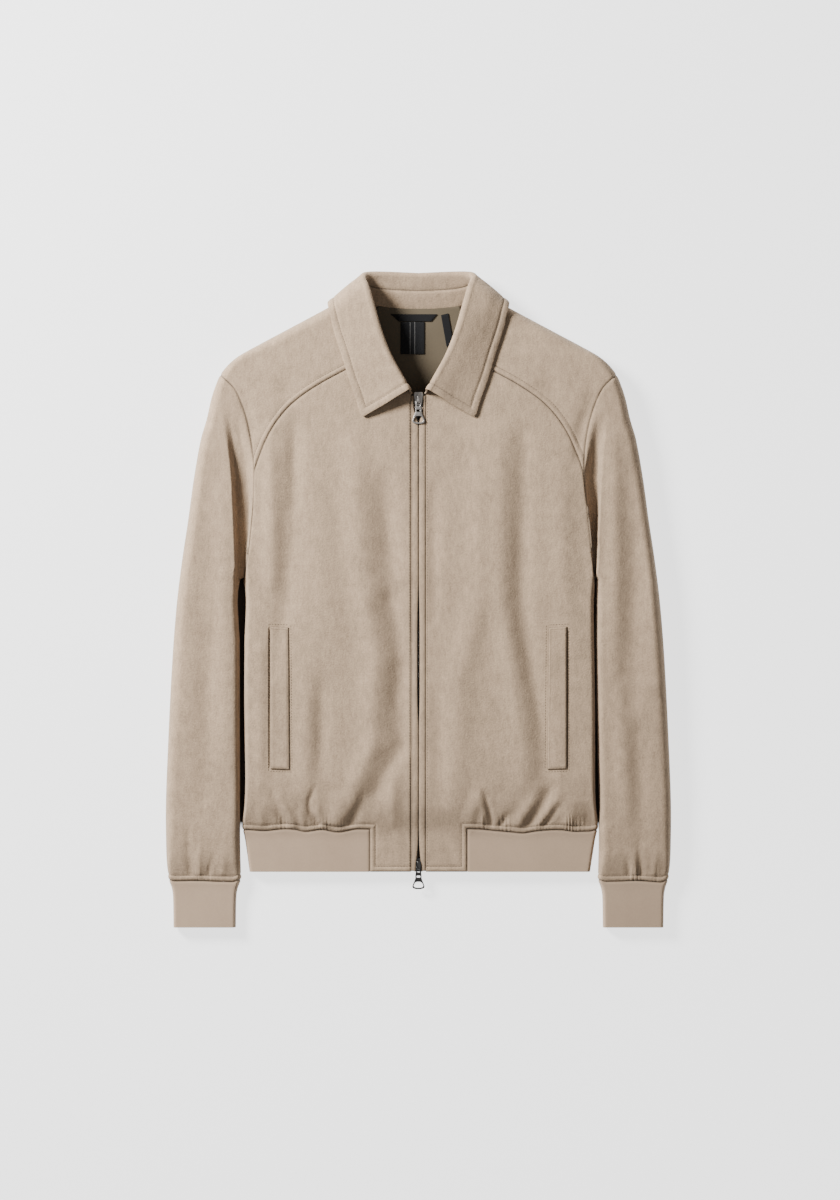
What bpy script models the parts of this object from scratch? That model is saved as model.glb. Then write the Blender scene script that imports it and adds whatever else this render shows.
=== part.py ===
"""Suede blouson jacket with a zip front, lying flat on its back.

The garment is a flattened tube of cloth. Its front is the upper layer and its back the lower one,
and they meet at the edges of the lying shape. Every cloth piece is a wall over a grid of points:
a plan point gets its height from the layer that it belongs to, and its thickness inwards.

Frame: +X across, +Y towards the collar, +Z up, the back of the jacket on Z = 0.
Tables and sizes are in millimetres, and MM turns them into Blender's metres.
"""

import math

import bmesh
import bpy
import numpy as np
from mathutils import Matrix

MM = 0.001

# ---------------------------------------------------------------- driving dimensions, millimetres

SUEDE_WALL = 1.8
RIB_WALL = 2.2
COLLAR_WALL = 2.4
LINING_WALL = 1.0
LABEL_WALL = 1.0
TAPE_WALL = 1.0
SEAM_GAP = 0.3
WELD = 0.001
RANK_SHARE_Y = 0.618

HEM_SEAM_Y = -270.8
HEM_BOTTOM_Y = -320.4
CUFF_SEAM_Y = -329.8
CUFF_BOTTOM_Y = -385.9
ARMPIT_Y = 23.0
ZIP_TOP_Y = 240.0
EDGE_STRIP_X = 8.6
TAB_SIDE_X = 57.2
CENTRE_GAP_X = 207.5

# Half of the lying outline, from the neck over the shoulder and down the outside of the sleeve.
OUTER_LINE = (
    # half width, y
    (71.4, 361.7),
    (98.9, 347.0),
    (126.3, 332.2),
    (161.7, 313.3),
    (197.0, 294.4),
    (213.0, 285.0),
    (224.0, 275.5),
    (233.0, 264.0),
    (239.0, 250.0),
    (243.7, 235.4),
    (249.0, 212.0),
    (256.0, 188.0),
    (264.3, 141.0),
    (270.8, 93.8),
    (277.9, 46.6),
    (283.8, -0.6),
    (287.9, -47.8),
    (290.9, -95.0),
    (294.4, -165.8),
    (297.2, -240.0),
    (297.0, -290.0),
    (296.1, -312.0),
    (294.7, -323.0),
    (293.9, CUFF_SEAM_Y),
    (293.2, -332.5),
    (290.6, -338.5),
    (289.2, -347.0),
    (288.5, CUFF_BOTTOM_Y),
)
SHOULDER_TIP = (233.0, 264.0)
NECK_POINT = (71.4, 361.7)

# The inside of the sleeve, from the cuff up to the armpit, and the side of the body down again.
SLEEVE_INNER_LINE = (
    # half width, y
    (216.0, CUFF_BOTTOM_Y),
    (215.4, -347.0),
    (213.7, -338.5),
    (211.2, -332.5),
    (210.5, CUFF_SEAM_Y),
    (210.4, -323.0),
    (211.2, -290.0),
    (211.5, -240.0),
    (210.7, -165.0),
    (209.9, -95.0),
    (209.6, -48.0),
    (209.3, -0.6),
    (CENTRE_GAP_X, ARMPIT_Y),
)
BODY_SIDE_LINE = (
    # half width, y
    (CENTRE_GAP_X, ARMPIT_Y),
    (205.4, -0.6),
    (205.3, -48.0),
    (205.6, -95.0),
    (205.5, -165.0),
    (205.4, -213.0),
    (206.2, -240.0),
    (208.4, -262.0),
    (208.0, HEM_SEAM_Y),
    (205.5, -283.0),
    (200.0, HEM_BOTTOM_Y),
)

# Curved seams, as half width and y.
YOKE_SEAM = (
    (193.0, 149.5),
    (181.0, 182.0),
    (166.5, 208.0),
    (147.0, 230.5),
    (119.0, 250.5),
    (88.3, 267.5),
    (49.0, 288.0),
)
ARMHOLE_TOP = (
    (233.0, 264.0),
    (215.4, 246.6),
    (203.6, 220.0),
    (196.7, 191.0),
    (193.5, 161.0),
    (193.0, 149.5),
)
ARMHOLE_LOW = (
    (193.0, 149.5),
    (194.2, 106.8),
    (196.0, 85.6),
    (200.0, 52.5),
    (CENTRE_GAP_X, ARMPIT_Y),
)
ARMHOLE_BACK = (
    (CENTRE_GAP_X, ARMPIT_Y),
    (197.5, 60.0),
    (192.0, 110.0),
    (190.5, 160.0),
    (197.0, 210.0),
    (213.0, 245.0),
    (233.0, 264.0),
)
FRONT_NECK = (
    (EDGE_STRIP_X, ZIP_TOP_Y),
    (29.0, 264.0),
    (49.0, 288.0),
)
YOKE_NECK = (
    (49.0, 288.0),
    (59.6, 312.0),
    (67.5, 337.0),
    (71.4, 361.7),
)
BACK_NECK = (
    (71.4, 361.7),
    (65.0, 350.0),
    (50.0, 342.0),
    (25.0, 338.2),
    (0.0, 337.6),
)

# Height of the top layer away from its edges, height of the edge, and radius of the turn there.
BODY_HEIGHTS = (
    # y, plateau, side, turn
    (380.0, 27.0, 14.0, 30.0),
    (264.0, 31.0, 14.0, 32.0),
    (150.0, 31.0, 14.0, 30.0),
    (23.0, 31.5, 14.0, 27.0),
    (-150.0, 30.0, 12.5, 25.0),
    (-215.0, 29.0, 11.5, 22.0),
    (-245.0, 25.5, 10.0, 17.0),
    (-262.0, 19.5, 8.5, 12.0),
    (-274.0, 15.5, 7.5, 10.0),
    (-330.0, 14.5, 7.2, 9.0),
)
SLEEVE_HEIGHTS = (
    # y, plateau, side, turn
    (264.0, 31.0, 14.0, 32.0),
    (150.0, 30.5, 14.0, 34.0),
    (23.0, 30.0, 14.0, 34.0),
    (-150.0, 28.0, 12.5, 33.0),
    (-270.0, 26.0, 11.5, 29.0),
    (-305.0, 23.5, 10.0, 21.0),
    (-322.0, 18.0, 8.5, 13.0),
    (-334.0, 15.8, 7.6, 10.0),
    (-390.0, 15.0, 7.4, 9.0),
)
BACK_TURN_SHARE = 0.75
COLLAR_LIFT = 3.6
LIFT_START_Y = 246.0
LIFT_END_Y = 284.0
LIFT_HALF_WIDTH = 150.0

# Soft valley between sleeve and front above the armpit.
DRAPE_LINE = ((222.0, 215.0), (212.0, 120.0), (CENTRE_GAP_X, ARMPIT_Y))
DRAPE_WIDTH = 13.0
DRAPE_DEPTH = 0.62

# Large folds of the top layer: a soft ridge (+) or trough (-) along a line from a to b.
FOLDS = (
    # ax, ay, bx, by, width, height
    (-84.0, 60.0, -84.0, -190.0, 24.0, 2.4),
    (-38.0, 90.0, -30.0, -80.0, 13.0, -3.2),
    (-30.0, -80.0, -56.0, -236.0, 12.0, -4.2),
    (-150.0, 110.0, -158.0, 10.0, 15.0, -2.4),
    (-126.0, -40.0, -118.0, -215.0, 17.0, 1.8),
    (-184.0, -210.0, -176.0, -250.0, 10.0, 2.2),
    (-140.0, 200.0, -70.0, 120.0, 26.0, -1.6),
    (54.0, 80.0, 54.0, -200.0, 20.0, 2.2),
    (104.0, 90.0, 114.0, -190.0, 17.0, -3.2),
    (150.0, 60.0, 146.0, -20.0, 18.0, 1.8),
    (28.0, -90.0, 44.0, -240.0, 11.0, -2.6),
    (140.0, 200.0, 80.0, 120.0, 26.0, -1.6),
    (-246.0, 190.0, -232.0, 20.0, 14.0, -2.6),
    (-262.0, 60.0, -258.0, -120.0, 18.0, 1.8),
    (-232.0, -40.0, -246.0, -230.0, 13.0, -2.4),
    (246.0, 190.0, 234.0, 20.0, 14.0, -2.6),
    (262.0, 40.0, 262.0, -140.0, 18.0, 1.8),
    (238.0, -60.0, 250.0, -240.0, 13.0, -2.2),
)

# Gathers where full cloth is sewn to a rib band: each is a short ridge running up from the seam.
HEM_GATHERS = (
    # x, length, lean, width, height
    (-189.0, 22.0, 5.0, 6.5, 1.6),
    (-166.0, 30.0, -6.0, 6.5, 1.9),
    (-146.0, 24.0, 4.0, 6.0, 1.9),
    (-127.0, 34.0, 6.0, 6.5, 2.1),
    (-104.0, 20.0, -4.0, 6.0, 1.8),
    (-82.0, 28.0, 5.0, 6.5, 1.5),
    (78.0, 32.0, -6.0, 6.5, 2.0),
    (98.0, 22.0, 4.0, 6.0, 1.7),
    (120.0, 30.0, -5.0, 6.5, 1.9),
    (143.0, 24.0, 6.0, 6.0, 1.8),
    (165.0, 28.0, -4.0, 6.5, 1.6),
    (187.0, 20.0, -5.0, 6.5, 1.6),
)
CUFF_GATHERS = (
    # x, length, lean, width, height
    (-272.0, 24.0, 4.0, 6.0, 1.7),
    (-253.0, 30.0, -3.0, 6.0, 2.0),
    (-233.0, 22.0, -5.0, 6.0, 1.7),
    (233.0, 24.0, 5.0, 6.0, 1.7),
    (252.0, 30.0, 3.0, 6.0, 2.0),
    (271.0, 22.0, -4.0, 6.0, 1.7),
)
GATHER_START = 5.0

# Where the grids of the pieces have their lines, as distances from an edge or along a seam.
SIDE_COLUMNS = (0.0, 2.5, 10.0, 22.0, 31.0, 43.3, 55.7)
FRONT_MIDDLE_CELLS = 9
TAB_CELLS = 5
HEM_ROWS = (-261.0, -249.0, -235.0, -218.0)
WELT_BOTTOM_Y = -199.4
WELT_TOP_Y = -31.3
WELT_CELLS = 6
ABOVE_WELT_Y = (-4.0,)
TAB_ROWS = (-287.0, -304.0)
ARMHOLE_TOP_STEPS = (3.0, 10.0, 24.0, 58.0, 92.0)
ARMHOLE_LOW_STEPS = (3.0, 10.0, 25.0, 58.0, 91.0)
ARMHOLE_LOW_EXTRA = (41.0, 74.5)
FRONT_CENTRE_STEPS = (25.0, 55.0, 90.0, 130.0, 170.0)
YOKE_NECK_STEPS = (3.0, 10.0, 24.0, 40.0, 58.0)
SHOULDER_STEPS = (16.0, 46.0, 90.0, 134.0)
BACK_ARMHOLE_STEPS = (3.0, 10.0, 26.0, 56.0, 90.0, 124.0, 160.0, 198.0)
BACK_ARMHOLE_TIP_STEPS = (24.0, 10.0, 3.0)
BACK_NECK_STEPS = (6.0, 20.0, 46.0)
BACK_SIDE_COLUMNS = (0.0, 2.5, 12.0, 50.0, 92.0, 128.0, 148.0, 166.0, 187.0, 208.0)
SLEEVE_ROWS = (CUFF_SEAM_Y, -322.0, -311.0, -297.0, -278.0, -245.0, -210.0, -175.0, -140.0, -105.0,
               -70.0, -35.0, -5.0, 13.0, ARMPIT_Y)
CUFF_ROWS = (CUFF_BOTTOM_Y, -366.0, -347.0, -338.5, CUFF_SEAM_Y)
SLEEVE_TOP_SHARES = (0.0, 0.022, 0.09, 0.21, 0.36, 0.5, 0.64, 0.79, 0.91, 0.978, 1.0)
SLEEVE_UNDER_SHARES = (0.0, 0.022, 0.11, 0.3, 0.5, 0.7, 0.89, 0.978, 1.0)
ARMHOLE_TIP = 24.0

# Collar: a row for each station from the front end (0) round to the centre back (9).
COLLAR_STATIONS = (
    # neck share, roll x, y, z, middle x, y, puff, edge x, y
    (0.00, 10.0, 245.0, 43.5, 38.0, 230.0, 6.2, 65.5, 216.0),
    (0.09, 20.7, 263.7, 42.5, 47.0, 249.0, 5.2, 73.5, 235.4),
    (0.19, 33.6, 287.3, 43.0, 57.0, 272.0, 6.6, 81.5, 257.8),
    (0.29, 44.5, 314.5, 44.5, 67.0, 300.0, 8.0, 90.0, 286.2),
    (0.39, 52.5, 341.6, 43.5, 75.0, 325.0, 9.0, 98.0, 310.9),
    (0.49, 59.0, 365.2, 37.5, 80.0, 346.0, 9.5, 102.5, 329.0),
    (0.58, 63.4, 379.5, 26.0, 84.0, 354.9, 8.0, 103.0, 344.8),
    (0.68, 55.0, 383.6, 18.0, 74.0, 352.0, 3.5, 90.0, 338.0),
    (0.82, 31.0, 384.0, 14.5, 44.0, 351.0, 0.6, 58.0, 325.0),
    (1.00, 0.0, 382.8, 13.5, 0.0, 351.0, 0.4, 0.0, 321.0),
)
COLLAR_WRAP_STATION = 6
COLLAR_CLEARANCE = 0.7
WRAP_CLEARANCE = 3.4
ROLL_RADIUS = 3.6
ROLL_ANGLES = (0, 60, 120, 180)
STAND_SHARE = 0.62
STAND_POINTS = 3
NECK_CELLS = {0: 3, 1: 3, 2: 2, 3: 2, 9: 2, 10: 2, 11: 3}  # cells between neighbours on the neck edge

# The lining that shows inside the back neck, and the bare labels sewn to it.
LINING_FIRST_ROW = 12
NECK_LABEL_CORNERS = ((-23.0, 327.5), (15.0, 327.5), (-33.0, 336.0), (22.0, 336.0))
HANGER_TAB_CORNERS = ((-21.0, 289.0), (7.0, 289.0), (-21.0, 326.8), (7.0, 326.8))
SIDE_TAG_CORNERS = ((33.0, 298.0), (41.5, 300.0), (26.5, 335.0), (35.0, 337.0))

# Zip.
STRIP_OPEN = 0.7
STRIP_SLIT = (
    # y, half width of the gap between the strips
    (246.0, 6.2),
    (224.0, 6.2),
    (206.0, 0.7),
    (20.0, 0.7),
    (-40.0, 1.8),
    (-110.0, 1.8),
    (-150.0, 0.7),
    (-272.0, 0.7),
    (-290.0, 1.2),
    (-304.0, 2.4),
    (-312.0, 3.6),
    (-330.0, 3.6),
)
STRIP_BOTTOM_Y = -318.8
STRIP_TOP_Y = 238.6
STRIP_CELLS = 14
TAPE_OUTER_X = 13.5
TAPE_CLOSED = 0.4
TAPE_SPREAD = 0.62
TAPE_DROPS = ((300.0, 0.8), (-282.0, 0.8), (-298.0, 2.4), (-330.0, 2.4))  # y, gap under the strips
TAPE_CLEARANCE = 0.4

# Sliders and pull tabs: each tab turns on its own bar, inside the bridge of its slider.
TOP_SLIDER_Y = 235.0
BOTTOM_SLIDER_Y = -312.2
TOP_PULL_DROOP = math.radians(1)
BOTTOM_PULL_DROOP = math.radians(12)
SLIDER_HALF_OUTLINE = ((3.8, -8.0), (4.6, -2.0), (5.6, 5.0), (5.0, 8.0))  # half width, y
SLIDER_PLATE = 1.6
SLIDER_EDGE = 0.5
STEM_SIZE = (2.6, 5.0)
BRIDGE_WIDTH = 3.0
BRIDGE_LEG = 1.5
BRIDGE_TOP = 1.3
BRIDGE_HOLE = (8.4, 2.9)
PULL_SETBACK = 2.7
PULL_AXIS_RISE = 2.2
PULL_HALF_PLATE = 0.8
PULL_OUTLINE = (
    # half width, distance below the bar's centre
    (3.0, -0.8),
    (3.3, 6.4),
    (3.7, 9.0),
    (3.7, 13.5),
    (5.0, 17.0),
    (7.2, 22.8),
    (7.2, 24.0),
    (6.4, 25.4),
    (3.4, 26.6),
)
PULL_WINDOWS = (
    # for the bridge, below it, and for the fingers
    ((1.9, 0.8), (1.9, 6.2)),
    ((2.2, 10.0), (2.2, 12.6)),
    ((3.6, 17.6), (5.6, 22.4), (5.2, 23.8), (2.6, 24.9)),
)


# ---------------------------------------------------------------- plan curves


def spline(rows, step=3.0):
    """Points about `step` apart on a smooth curve through the rows, with every row on it."""
    knots = np.array(rows, float)
    before = 2 * knots[0] - knots[1]
    after = 2 * knots[-1] - knots[-2]
    padded = np.vstack([before, knots, after])
    points = [knots[0]]
    for k in range(1, len(padded) - 2):
        a, b, c, d = padded[k - 1 : k + 3]
        span = np.linalg.norm(c - b)
        leave = (c - a) * span / max(np.linalg.norm(c - b) + np.linalg.norm(b - a), 1e-9)
        arrive = (d - b) * span / max(np.linalg.norm(d - c) + np.linalg.norm(c - b), 1e-9)
        for t in np.linspace(0, 1, max(2, int(span / step)) + 1)[1:]:
            points.append(
                (2 * t**3 - 3 * t**2 + 1) * b
                + (t**3 - 2 * t**2 + t) * leave
                + (3 * t**2 - 2 * t**3) * c
                + (t**3 - t**2) * arrive
            )
    return np.array(points)


def lengths(line):
    return np.concatenate([[0.0], np.cumsum(np.linalg.norm(np.diff(line, axis=0), axis=1))])


def at_distances(line, distances):
    """Points on a line at these distances from its start."""
    run = lengths(line)
    return np.stack([np.interp(distances, run, line[:, k]) for k in range(line.shape[1])], axis=1)


def steps_along(line, from_start, from_end=()):
    """A line's points at its start, at the given distances from each end, and at its end."""
    total = lengths(line)[-1]
    return at_distances(line, [0.0, *from_start, *(total - d for d in from_end), total])


def between(line, start, end):
    """The stretch of a line between two of its own points."""
    first = np.argmin(np.linalg.norm(line - start, axis=1))
    last = np.argmin(np.linalg.norm(line - end, axis=1))
    return line[first : last + 1] if first <= last else line[last : first + 1][::-1]


OUTER = spline(OUTER_LINE)
INNER = spline(SLEEVE_INNER_LINE)
BODY_SIDE = spline(BODY_SIDE_LINE)


class Outline:
    """The lying shape's edges, for the distance of a plan point from them."""

    def __init__(self, lines):
        starts, ends, start_normals, end_normals = [], [], [], []
        for line in lines:
            run = np.diff(line, axis=0)
            inward = np.stack([run[:, 1], -run[:, 0]], axis=1)
            inward /= np.linalg.norm(inward, axis=1)[:, None]
            corner = np.vstack([inward[:1], inward[1:] + inward[:-1], inward[-1:]])
            corner /= np.linalg.norm(corner, axis=1)[:, None]
            starts.append(line[:-1])
            ends.append(line[1:])
            start_normals.append(corner[:-1])
            end_normals.append(corner[1:])
        self.starts = np.vstack(starts)
        self.runs = np.vstack(ends) - self.starts
        self.start_normals = np.vstack(start_normals)
        self.end_normals = np.vstack(end_normals)

    def measure(self, xy):
        """Distance from the nearest edge, and the unit direction away from it, inwards."""
        half = np.stack([np.abs(xy[:, 0]), xy[:, 1]], axis=1)
        to = half[:, None, :] - self.starts[None]
        share = (to * self.runs).sum(2) / (self.runs**2).sum(1)
        share = np.clip(share, 0, 1)
        off = to - share[:, :, None] * self.runs
        nearest = np.argmin((off**2).sum(2), axis=1)
        rows = np.arange(len(half))
        off = off[rows, nearest]
        share = share[rows, nearest][:, None]
        distance = np.linalg.norm(off, axis=1)
        edge = (1 - share) * self.start_normals[nearest] + share * self.end_normals[nearest]
        edge /= np.maximum(np.linalg.norm(edge, axis=1), 1e-9)[:, None]
        near = distance < 1e-4
        away = np.where(near[:, None], edge, off / np.maximum(distance, 1e-9)[:, None])
        away[:, 0] *= np.where(xy[:, 0] < 0, -1.0, 1.0)
        return np.where(near, 0.0, distance), away


OUTLINE = Outline([OUTER, np.vstack([INNER, BODY_SIDE[1:]])])


# ---------------------------------------------------------------- heights of the two layers


def smoothstep(value):
    value = np.clip(value, 0, 1)
    return value * value * (3 - 2 * value)


def height_column(rows, column, y):
    """A column of a height table at y, eased over its corners."""
    table = sorted(rows)
    ys = [row[0] for row in table]
    values = [row[column] for row in table]
    return np.mean([np.interp(y + shift, ys, values) for shift in (-9, -6, -3, 0, 3, 6, 9)], axis=0)


def sleeve_share(x, y):
    """0 on the body and 1 on the sleeve, with a soft change above the armpit."""
    width = 40 * smoothstep((y - ARMPIT_Y) / 60) + 0.01
    return smoothstep((np.abs(x) - CENTRE_GAP_X) / width + 0.5)


def zone(column, x, y):
    share = sleeve_share(x, y)
    body = height_column(BODY_HEIGHTS, column, y)
    sleeve = height_column(SLEEVE_HEIGHTS, column, y)
    return body + (sleeve - body) * share


def near_line(x, y, ax, ay, bx, by):
    """Distance from a straight stretch, and the share of the way along it."""
    run = (bx - ax) ** 2 + (by - ay) ** 2
    share = np.clip(((x - ax) * (bx - ax) + (y - ay) * (by - ay)) / run, 0, 1)
    return np.hypot(x - ax - share * (bx - ax), y - ay - share * (by - ay)), share


def fold_height(x, y):
    total = np.zeros_like(x)
    for ax, ay, bx, by, width, height in FOLDS:
        off, share = near_line(x, y, ax, ay, bx, by)
        total += height * np.exp(-((off / width) ** 2)) * (0.55 + 0.45 * np.sin(np.pi * share))
    for gathers, seam_y in ((HEM_GATHERS, HEM_SEAM_Y), (CUFF_GATHERS, CUFF_SEAM_Y)):
        rise = smoothstep((y - seam_y) / (2 * GATHER_START))
        for gx, length, lean, width, height in gathers:
            off, _ = near_line(x, y, gx, seam_y + GATHER_START, gx + lean, seam_y + length)
            total += rise * height * np.exp(-((off / width) ** 2))
    return total


def drape_share(x, y):
    """How much of the height is lost in the valley that runs up from the armpit."""
    half = np.abs(x)
    (ax, ay), (bx, by), (cx, cy) = DRAPE_LINE
    upper, along_upper = near_line(half, y, ax, ay, bx, by)
    lower, along_lower = near_line(half, y, bx, by, cx, cy)
    depth = np.where(upper < lower, 0.4 * along_upper, 0.4 + 0.6 * along_lower)
    below = smoothstep((y - ARMPIT_Y + 30) / 30)
    return DRAPE_DEPTH * depth * below * np.exp(-((np.minimum(upper, lower) / DRAPE_WIDTH) ** 2))


def top_rise(x, y):
    rise = zone(1, x, y) - zone(2, x, y)
    return rise * (1 - drape_share(x, y)) + fold_height(x, y)


def bottom_rise(x, y):
    lift = COLLAR_LIFT * smoothstep((y - LIFT_START_Y) / (LIFT_END_Y - LIFT_START_Y))
    lift *= smoothstep((LIFT_HALF_WIDTH - np.abs(x)) / 30)
    return lift - zone(2, x, y)


def layer(xy, which):
    """Outer points and outward normals of the cloth over plan points, on the top or bottom layer."""
    xy = np.asarray(xy, float)
    shape = xy.shape[:-1]
    flat = xy.reshape(-1, 2)
    x, y = flat.T
    distance, away = OUTLINE.measure(flat)
    rise_of = top_rise if which == "top" else bottom_rise
    turn = zone(3, x, y) * (1.0 if which == "top" else BACK_TURN_SHARE)
    cosine = np.clip(1 - distance / turn, 0, 1)
    sine = np.sqrt(1 - cosine**2)
    rise = rise_of(x, y)
    side = zone(2, x, y)
    h = 0.5
    slope_x = (rise_of(x + h, y) - rise_of(x - h, y)) / (2 * h)
    slope_y = (rise_of(x, y + h) - rise_of(x, y - h)) / (2 * h)
    side_slope = (zone(2, x, y + h) - zone(2, x, y - h)) / (2 * h)
    normal = np.stack(
        [
            -(rise / turn) * cosine * away[:, 0] - sine * sine * slope_x,
            -(rise / turn) * cosine * away[:, 1] - sine * (sine * slope_y + side_slope),
            sine,
        ],
        axis=1,
    )
    if which == "bottom":
        normal = -normal
    normal /= np.linalg.norm(normal, axis=1)[:, None]
    points = np.column_stack([flat, side + rise * sine])
    return points.reshape(*shape, 3), normal.reshape(*shape, 3)


# ---------------------------------------------------------------- grids and walls


def coons(bottom, top, left, right):
    """A grid of plan points between four edges: rows run from bottom to top."""
    bottom, top, left, right = (np.asarray(edge, float) for edge in (bottom, top, left, right))
    across_low = lengths(bottom) / lengths(bottom)[-1]
    across_high = lengths(top) / lengths(top)[-1]
    up_left = lengths(left) / lengths(left)[-1]
    up_right = lengths(right) / lengths(right)[-1]
    middle = (up_left + up_right)[:, None] / 2
    u = across_low[None] * (1 - middle) + across_high[None] * middle
    v = up_left[:, None] * (1 - u) + up_right[:, None] * u
    u = (across_low[None] * (1 - v) + across_high[None] * v)[..., None]
    v = v[..., None]
    return (
        (1 - v) * bottom[None]
        + v * top[None]
        + (1 - u) * left[:, None]
        + u * right[:, None]
        - (1 - u) * (1 - v) * bottom[0]
        - u * (1 - v) * bottom[-1]
        - (1 - u) * v * top[0]
        - u * v * top[-1]
    )


def follow(fine, coarse_points, coarse_normals):
    """Points and normals for fine plan points that lie along a coarser edge's straight stretches.

    Two pieces that share a seam keep an even gap only where both follow the same stretches.
    """
    run = lengths(coarse_points[:, :2])
    near = []
    for x, y in fine:
        off = []
        for k in range(len(run) - 1):
            distance, share = near_line(x, y, *coarse_points[k, :2], *coarse_points[k + 1, :2])
            off.append((distance, run[k] + share * (run[k + 1] - run[k])))
        near.append(min(off)[1])
    points = np.stack([np.interp(near, run, coarse_points[:, k]) for k in range(3)], axis=1)
    normals = np.stack([np.interp(near, run, coarse_normals[:, k]) for k in range(3)], axis=1)
    return points, normals


def boundary_edges(quads):
    """The directed edges that only one quad has."""
    found = {}
    for quad in quads:
        for k in range(4):
            found[(quad[k], quad[(k + 1) % 4])] = True
    return [edge for edge in found if (edge[1], edge[0]) not in found]


def inset(points, normals, edges, facing, amount):
    """Moves every edge vertex inwards along the cloth, by `amount` from both edges that it ends."""

    def inwards(start, end):
        middle = normals[start] + normals[end]
        side = np.cross(middle, points[end] - points[start]) * facing
        return side / np.linalg.norm(side)

    arriving = {end: (start, end) for start, end in edges}
    moved = points.copy()
    for start, end in edges:
        before, after = inwards(*arriving[start]), inwards(start, end)
        moved[start] += amount * (before + after) / max(1 + np.dot(before, after), 0.35)
    return moved


def new_material(name, colour, roughness, metallic=0.0):
    material = bpy.data.materials.new(name)
    material.use_nodes = True
    shader = material.node_tree.nodes["Principled BSDF"]
    shader.inputs["Base Color"].default_value = (*colour, 1.0)
    shader.inputs["Roughness"].default_value = roughness
    shader.inputs["Metallic"].default_value = metallic
    return material


def add_object(name, mesh_data, material, smooth_angle=math.radians(40)):
    """An object from a bmesh in millimetres."""
    bmesh.ops.scale(mesh_data, vec=(MM, MM, MM), verts=mesh_data.verts)
    mesh = bpy.data.meshes.new(name)
    mesh_data.to_mesh(mesh)
    mesh_data.free()
    mesh.shade_smooth()
    mesh.set_sharp_from_angle(angle=smooth_angle)
    mesh.materials.append(material)
    made = bpy.data.objects.new(name, mesh)
    bpy.context.scene.collection.objects.link(made)
    return made


def rank(point):
    """An order of points that two pieces agree on at their seam, the same left and right."""
    return abs(point[0]) + RANK_SHARE_Y * point[1]


def turned(corners, flip):
    """The corners of a face, in the other sense where `flip` is true, from the same first corner."""
    return corners[:1] + corners[:0:-1] if flip else corners


def wall(name, points, normals, thickness, material, keep=None):
    """A closed wall of cloth: the outer points, the same points moved inwards, and its rims.

    Where a row's first and last points are one place, the cloth closes to a tube.
    """
    rows, columns = points.shape[:2]
    points, normals = points.reshape(-1, 3), normals.reshape(-1, 3)
    joined = list(range(rows * columns))
    for row in range(rows):
        first, last = row * columns, (row + 1) * columns - 1
        if np.linalg.norm(points[first] - points[last]) < WELD:
            joined[last] = first
    quads = []
    for row in range(rows - 1):
        for column in range(columns - 1):
            if keep is not None and not keep[row, column]:
                continue
            low = row * columns + column
            high = low + columns
            quads.append(tuple(joined[corner] for corner in (low, low + 1, high + 1, high)))
    facing = 0.0
    for a, b, c, d in quads:
        facing += np.dot(np.cross(points[c] - points[a], points[d] - points[b]), normals[a])
    facing = 1.0 if facing > 0 else -1.0
    edges = boundary_edges(quads)
    outer = inset(points, normals, edges, facing, SEAM_GAP / 2)
    inner = outer - thickness * normals
    made = bmesh.new()
    used = sorted({corner for quad in quads for corner in quad})
    outside = {corner: made.verts.new(outer[corner]) for corner in used}
    inside = {corner: made.verts.new(inner[corner]) for corner in used}
    for quad in quads:
        made.faces.new(turned([outside[corner] for corner in quad], facing < 0))
        made.faces.new(turned([inside[corner] for corner in quad], facing > 0))
    for start, end in edges:
        corners = [outside[end], outside[start], inside[start], inside[end]]
        if rank(points[start]) > rank(points[end]):
            corners = corners[1:] + corners[:1]
        made.faces.new(turned(corners, facing < 0))
    bmesh.ops.triangulate(made, faces=made.faces, quad_method="FIXED")
    return add_object(name, made, material)


def lift_off(points, normals, clear, thickness):
    """The outer points and normals of a piece that lies on these points."""
    return points + (clear + thickness) * normals, normals


# ---------------------------------------------------------------- shared seams, right half


SIDE_SEAM = between(BODY_SIDE, (CENTRE_GAP_X, ARMPIT_Y), (208.0, HEM_SEAM_Y))[::-1]
SHOULDER_SEAM = between(OUTER, SHOULDER_TIP, NECK_POINT)
SLEEVE_OUTSIDE = between(OUTER, (293.9, CUFF_SEAM_Y), SHOULDER_TIP)
SLEEVE_INSIDE = between(INNER, (210.5, CUFF_SEAM_Y), (CENTRE_GAP_X, ARMPIT_Y))

FRONT_ROWS_Y = np.array(
    [HEM_SEAM_Y, *HEM_ROWS, *np.linspace(WELT_BOTTOM_Y, WELT_TOP_Y, WELT_CELLS + 1), *ABOVE_WELT_Y, ARMPIT_Y]
)


def points_at_y(line, ys):
    """Points of a line that runs up or down, at these heights in plan."""
    order = np.argsort(line[:, 1])
    return np.column_stack([np.interp(ys, line[order, 1], line[order, 0]), ys])


SIDE_POINTS = points_at_y(SIDE_SEAM, FRONT_ROWS_Y)
ARMHOLE_TOP_POINTS = steps_along(spline(ARMHOLE_TOP), ARMHOLE_TOP_STEPS)
ARMHOLE_LOW_POINTS = steps_along(spline(ARMHOLE_LOW[::-1]), ARMHOLE_LOW_STEPS)
ARMHOLE_LOW_FINE = steps_along(spline(ARMHOLE_LOW[::-1]), sorted(ARMHOLE_LOW_STEPS + ARMHOLE_LOW_EXTRA))
ARMHOLE_BACK_POINTS = steps_along(spline(ARMHOLE_BACK), BACK_ARMHOLE_STEPS, BACK_ARMHOLE_TIP_STEPS)
SHOULDER_POINTS = steps_along(SHOULDER_SEAM, SHOULDER_STEPS)
YOKE_NECK_POINTS = steps_along(spline(YOKE_NECK)[::-1], YOKE_NECK_STEPS)
BACK_NECK_POINTS = steps_along(spline(BACK_NECK), BACK_NECK_STEPS)
TIP_CELLS = ARMHOLE_TOP_STEPS.index(ARMHOLE_TIP) + 1


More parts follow.
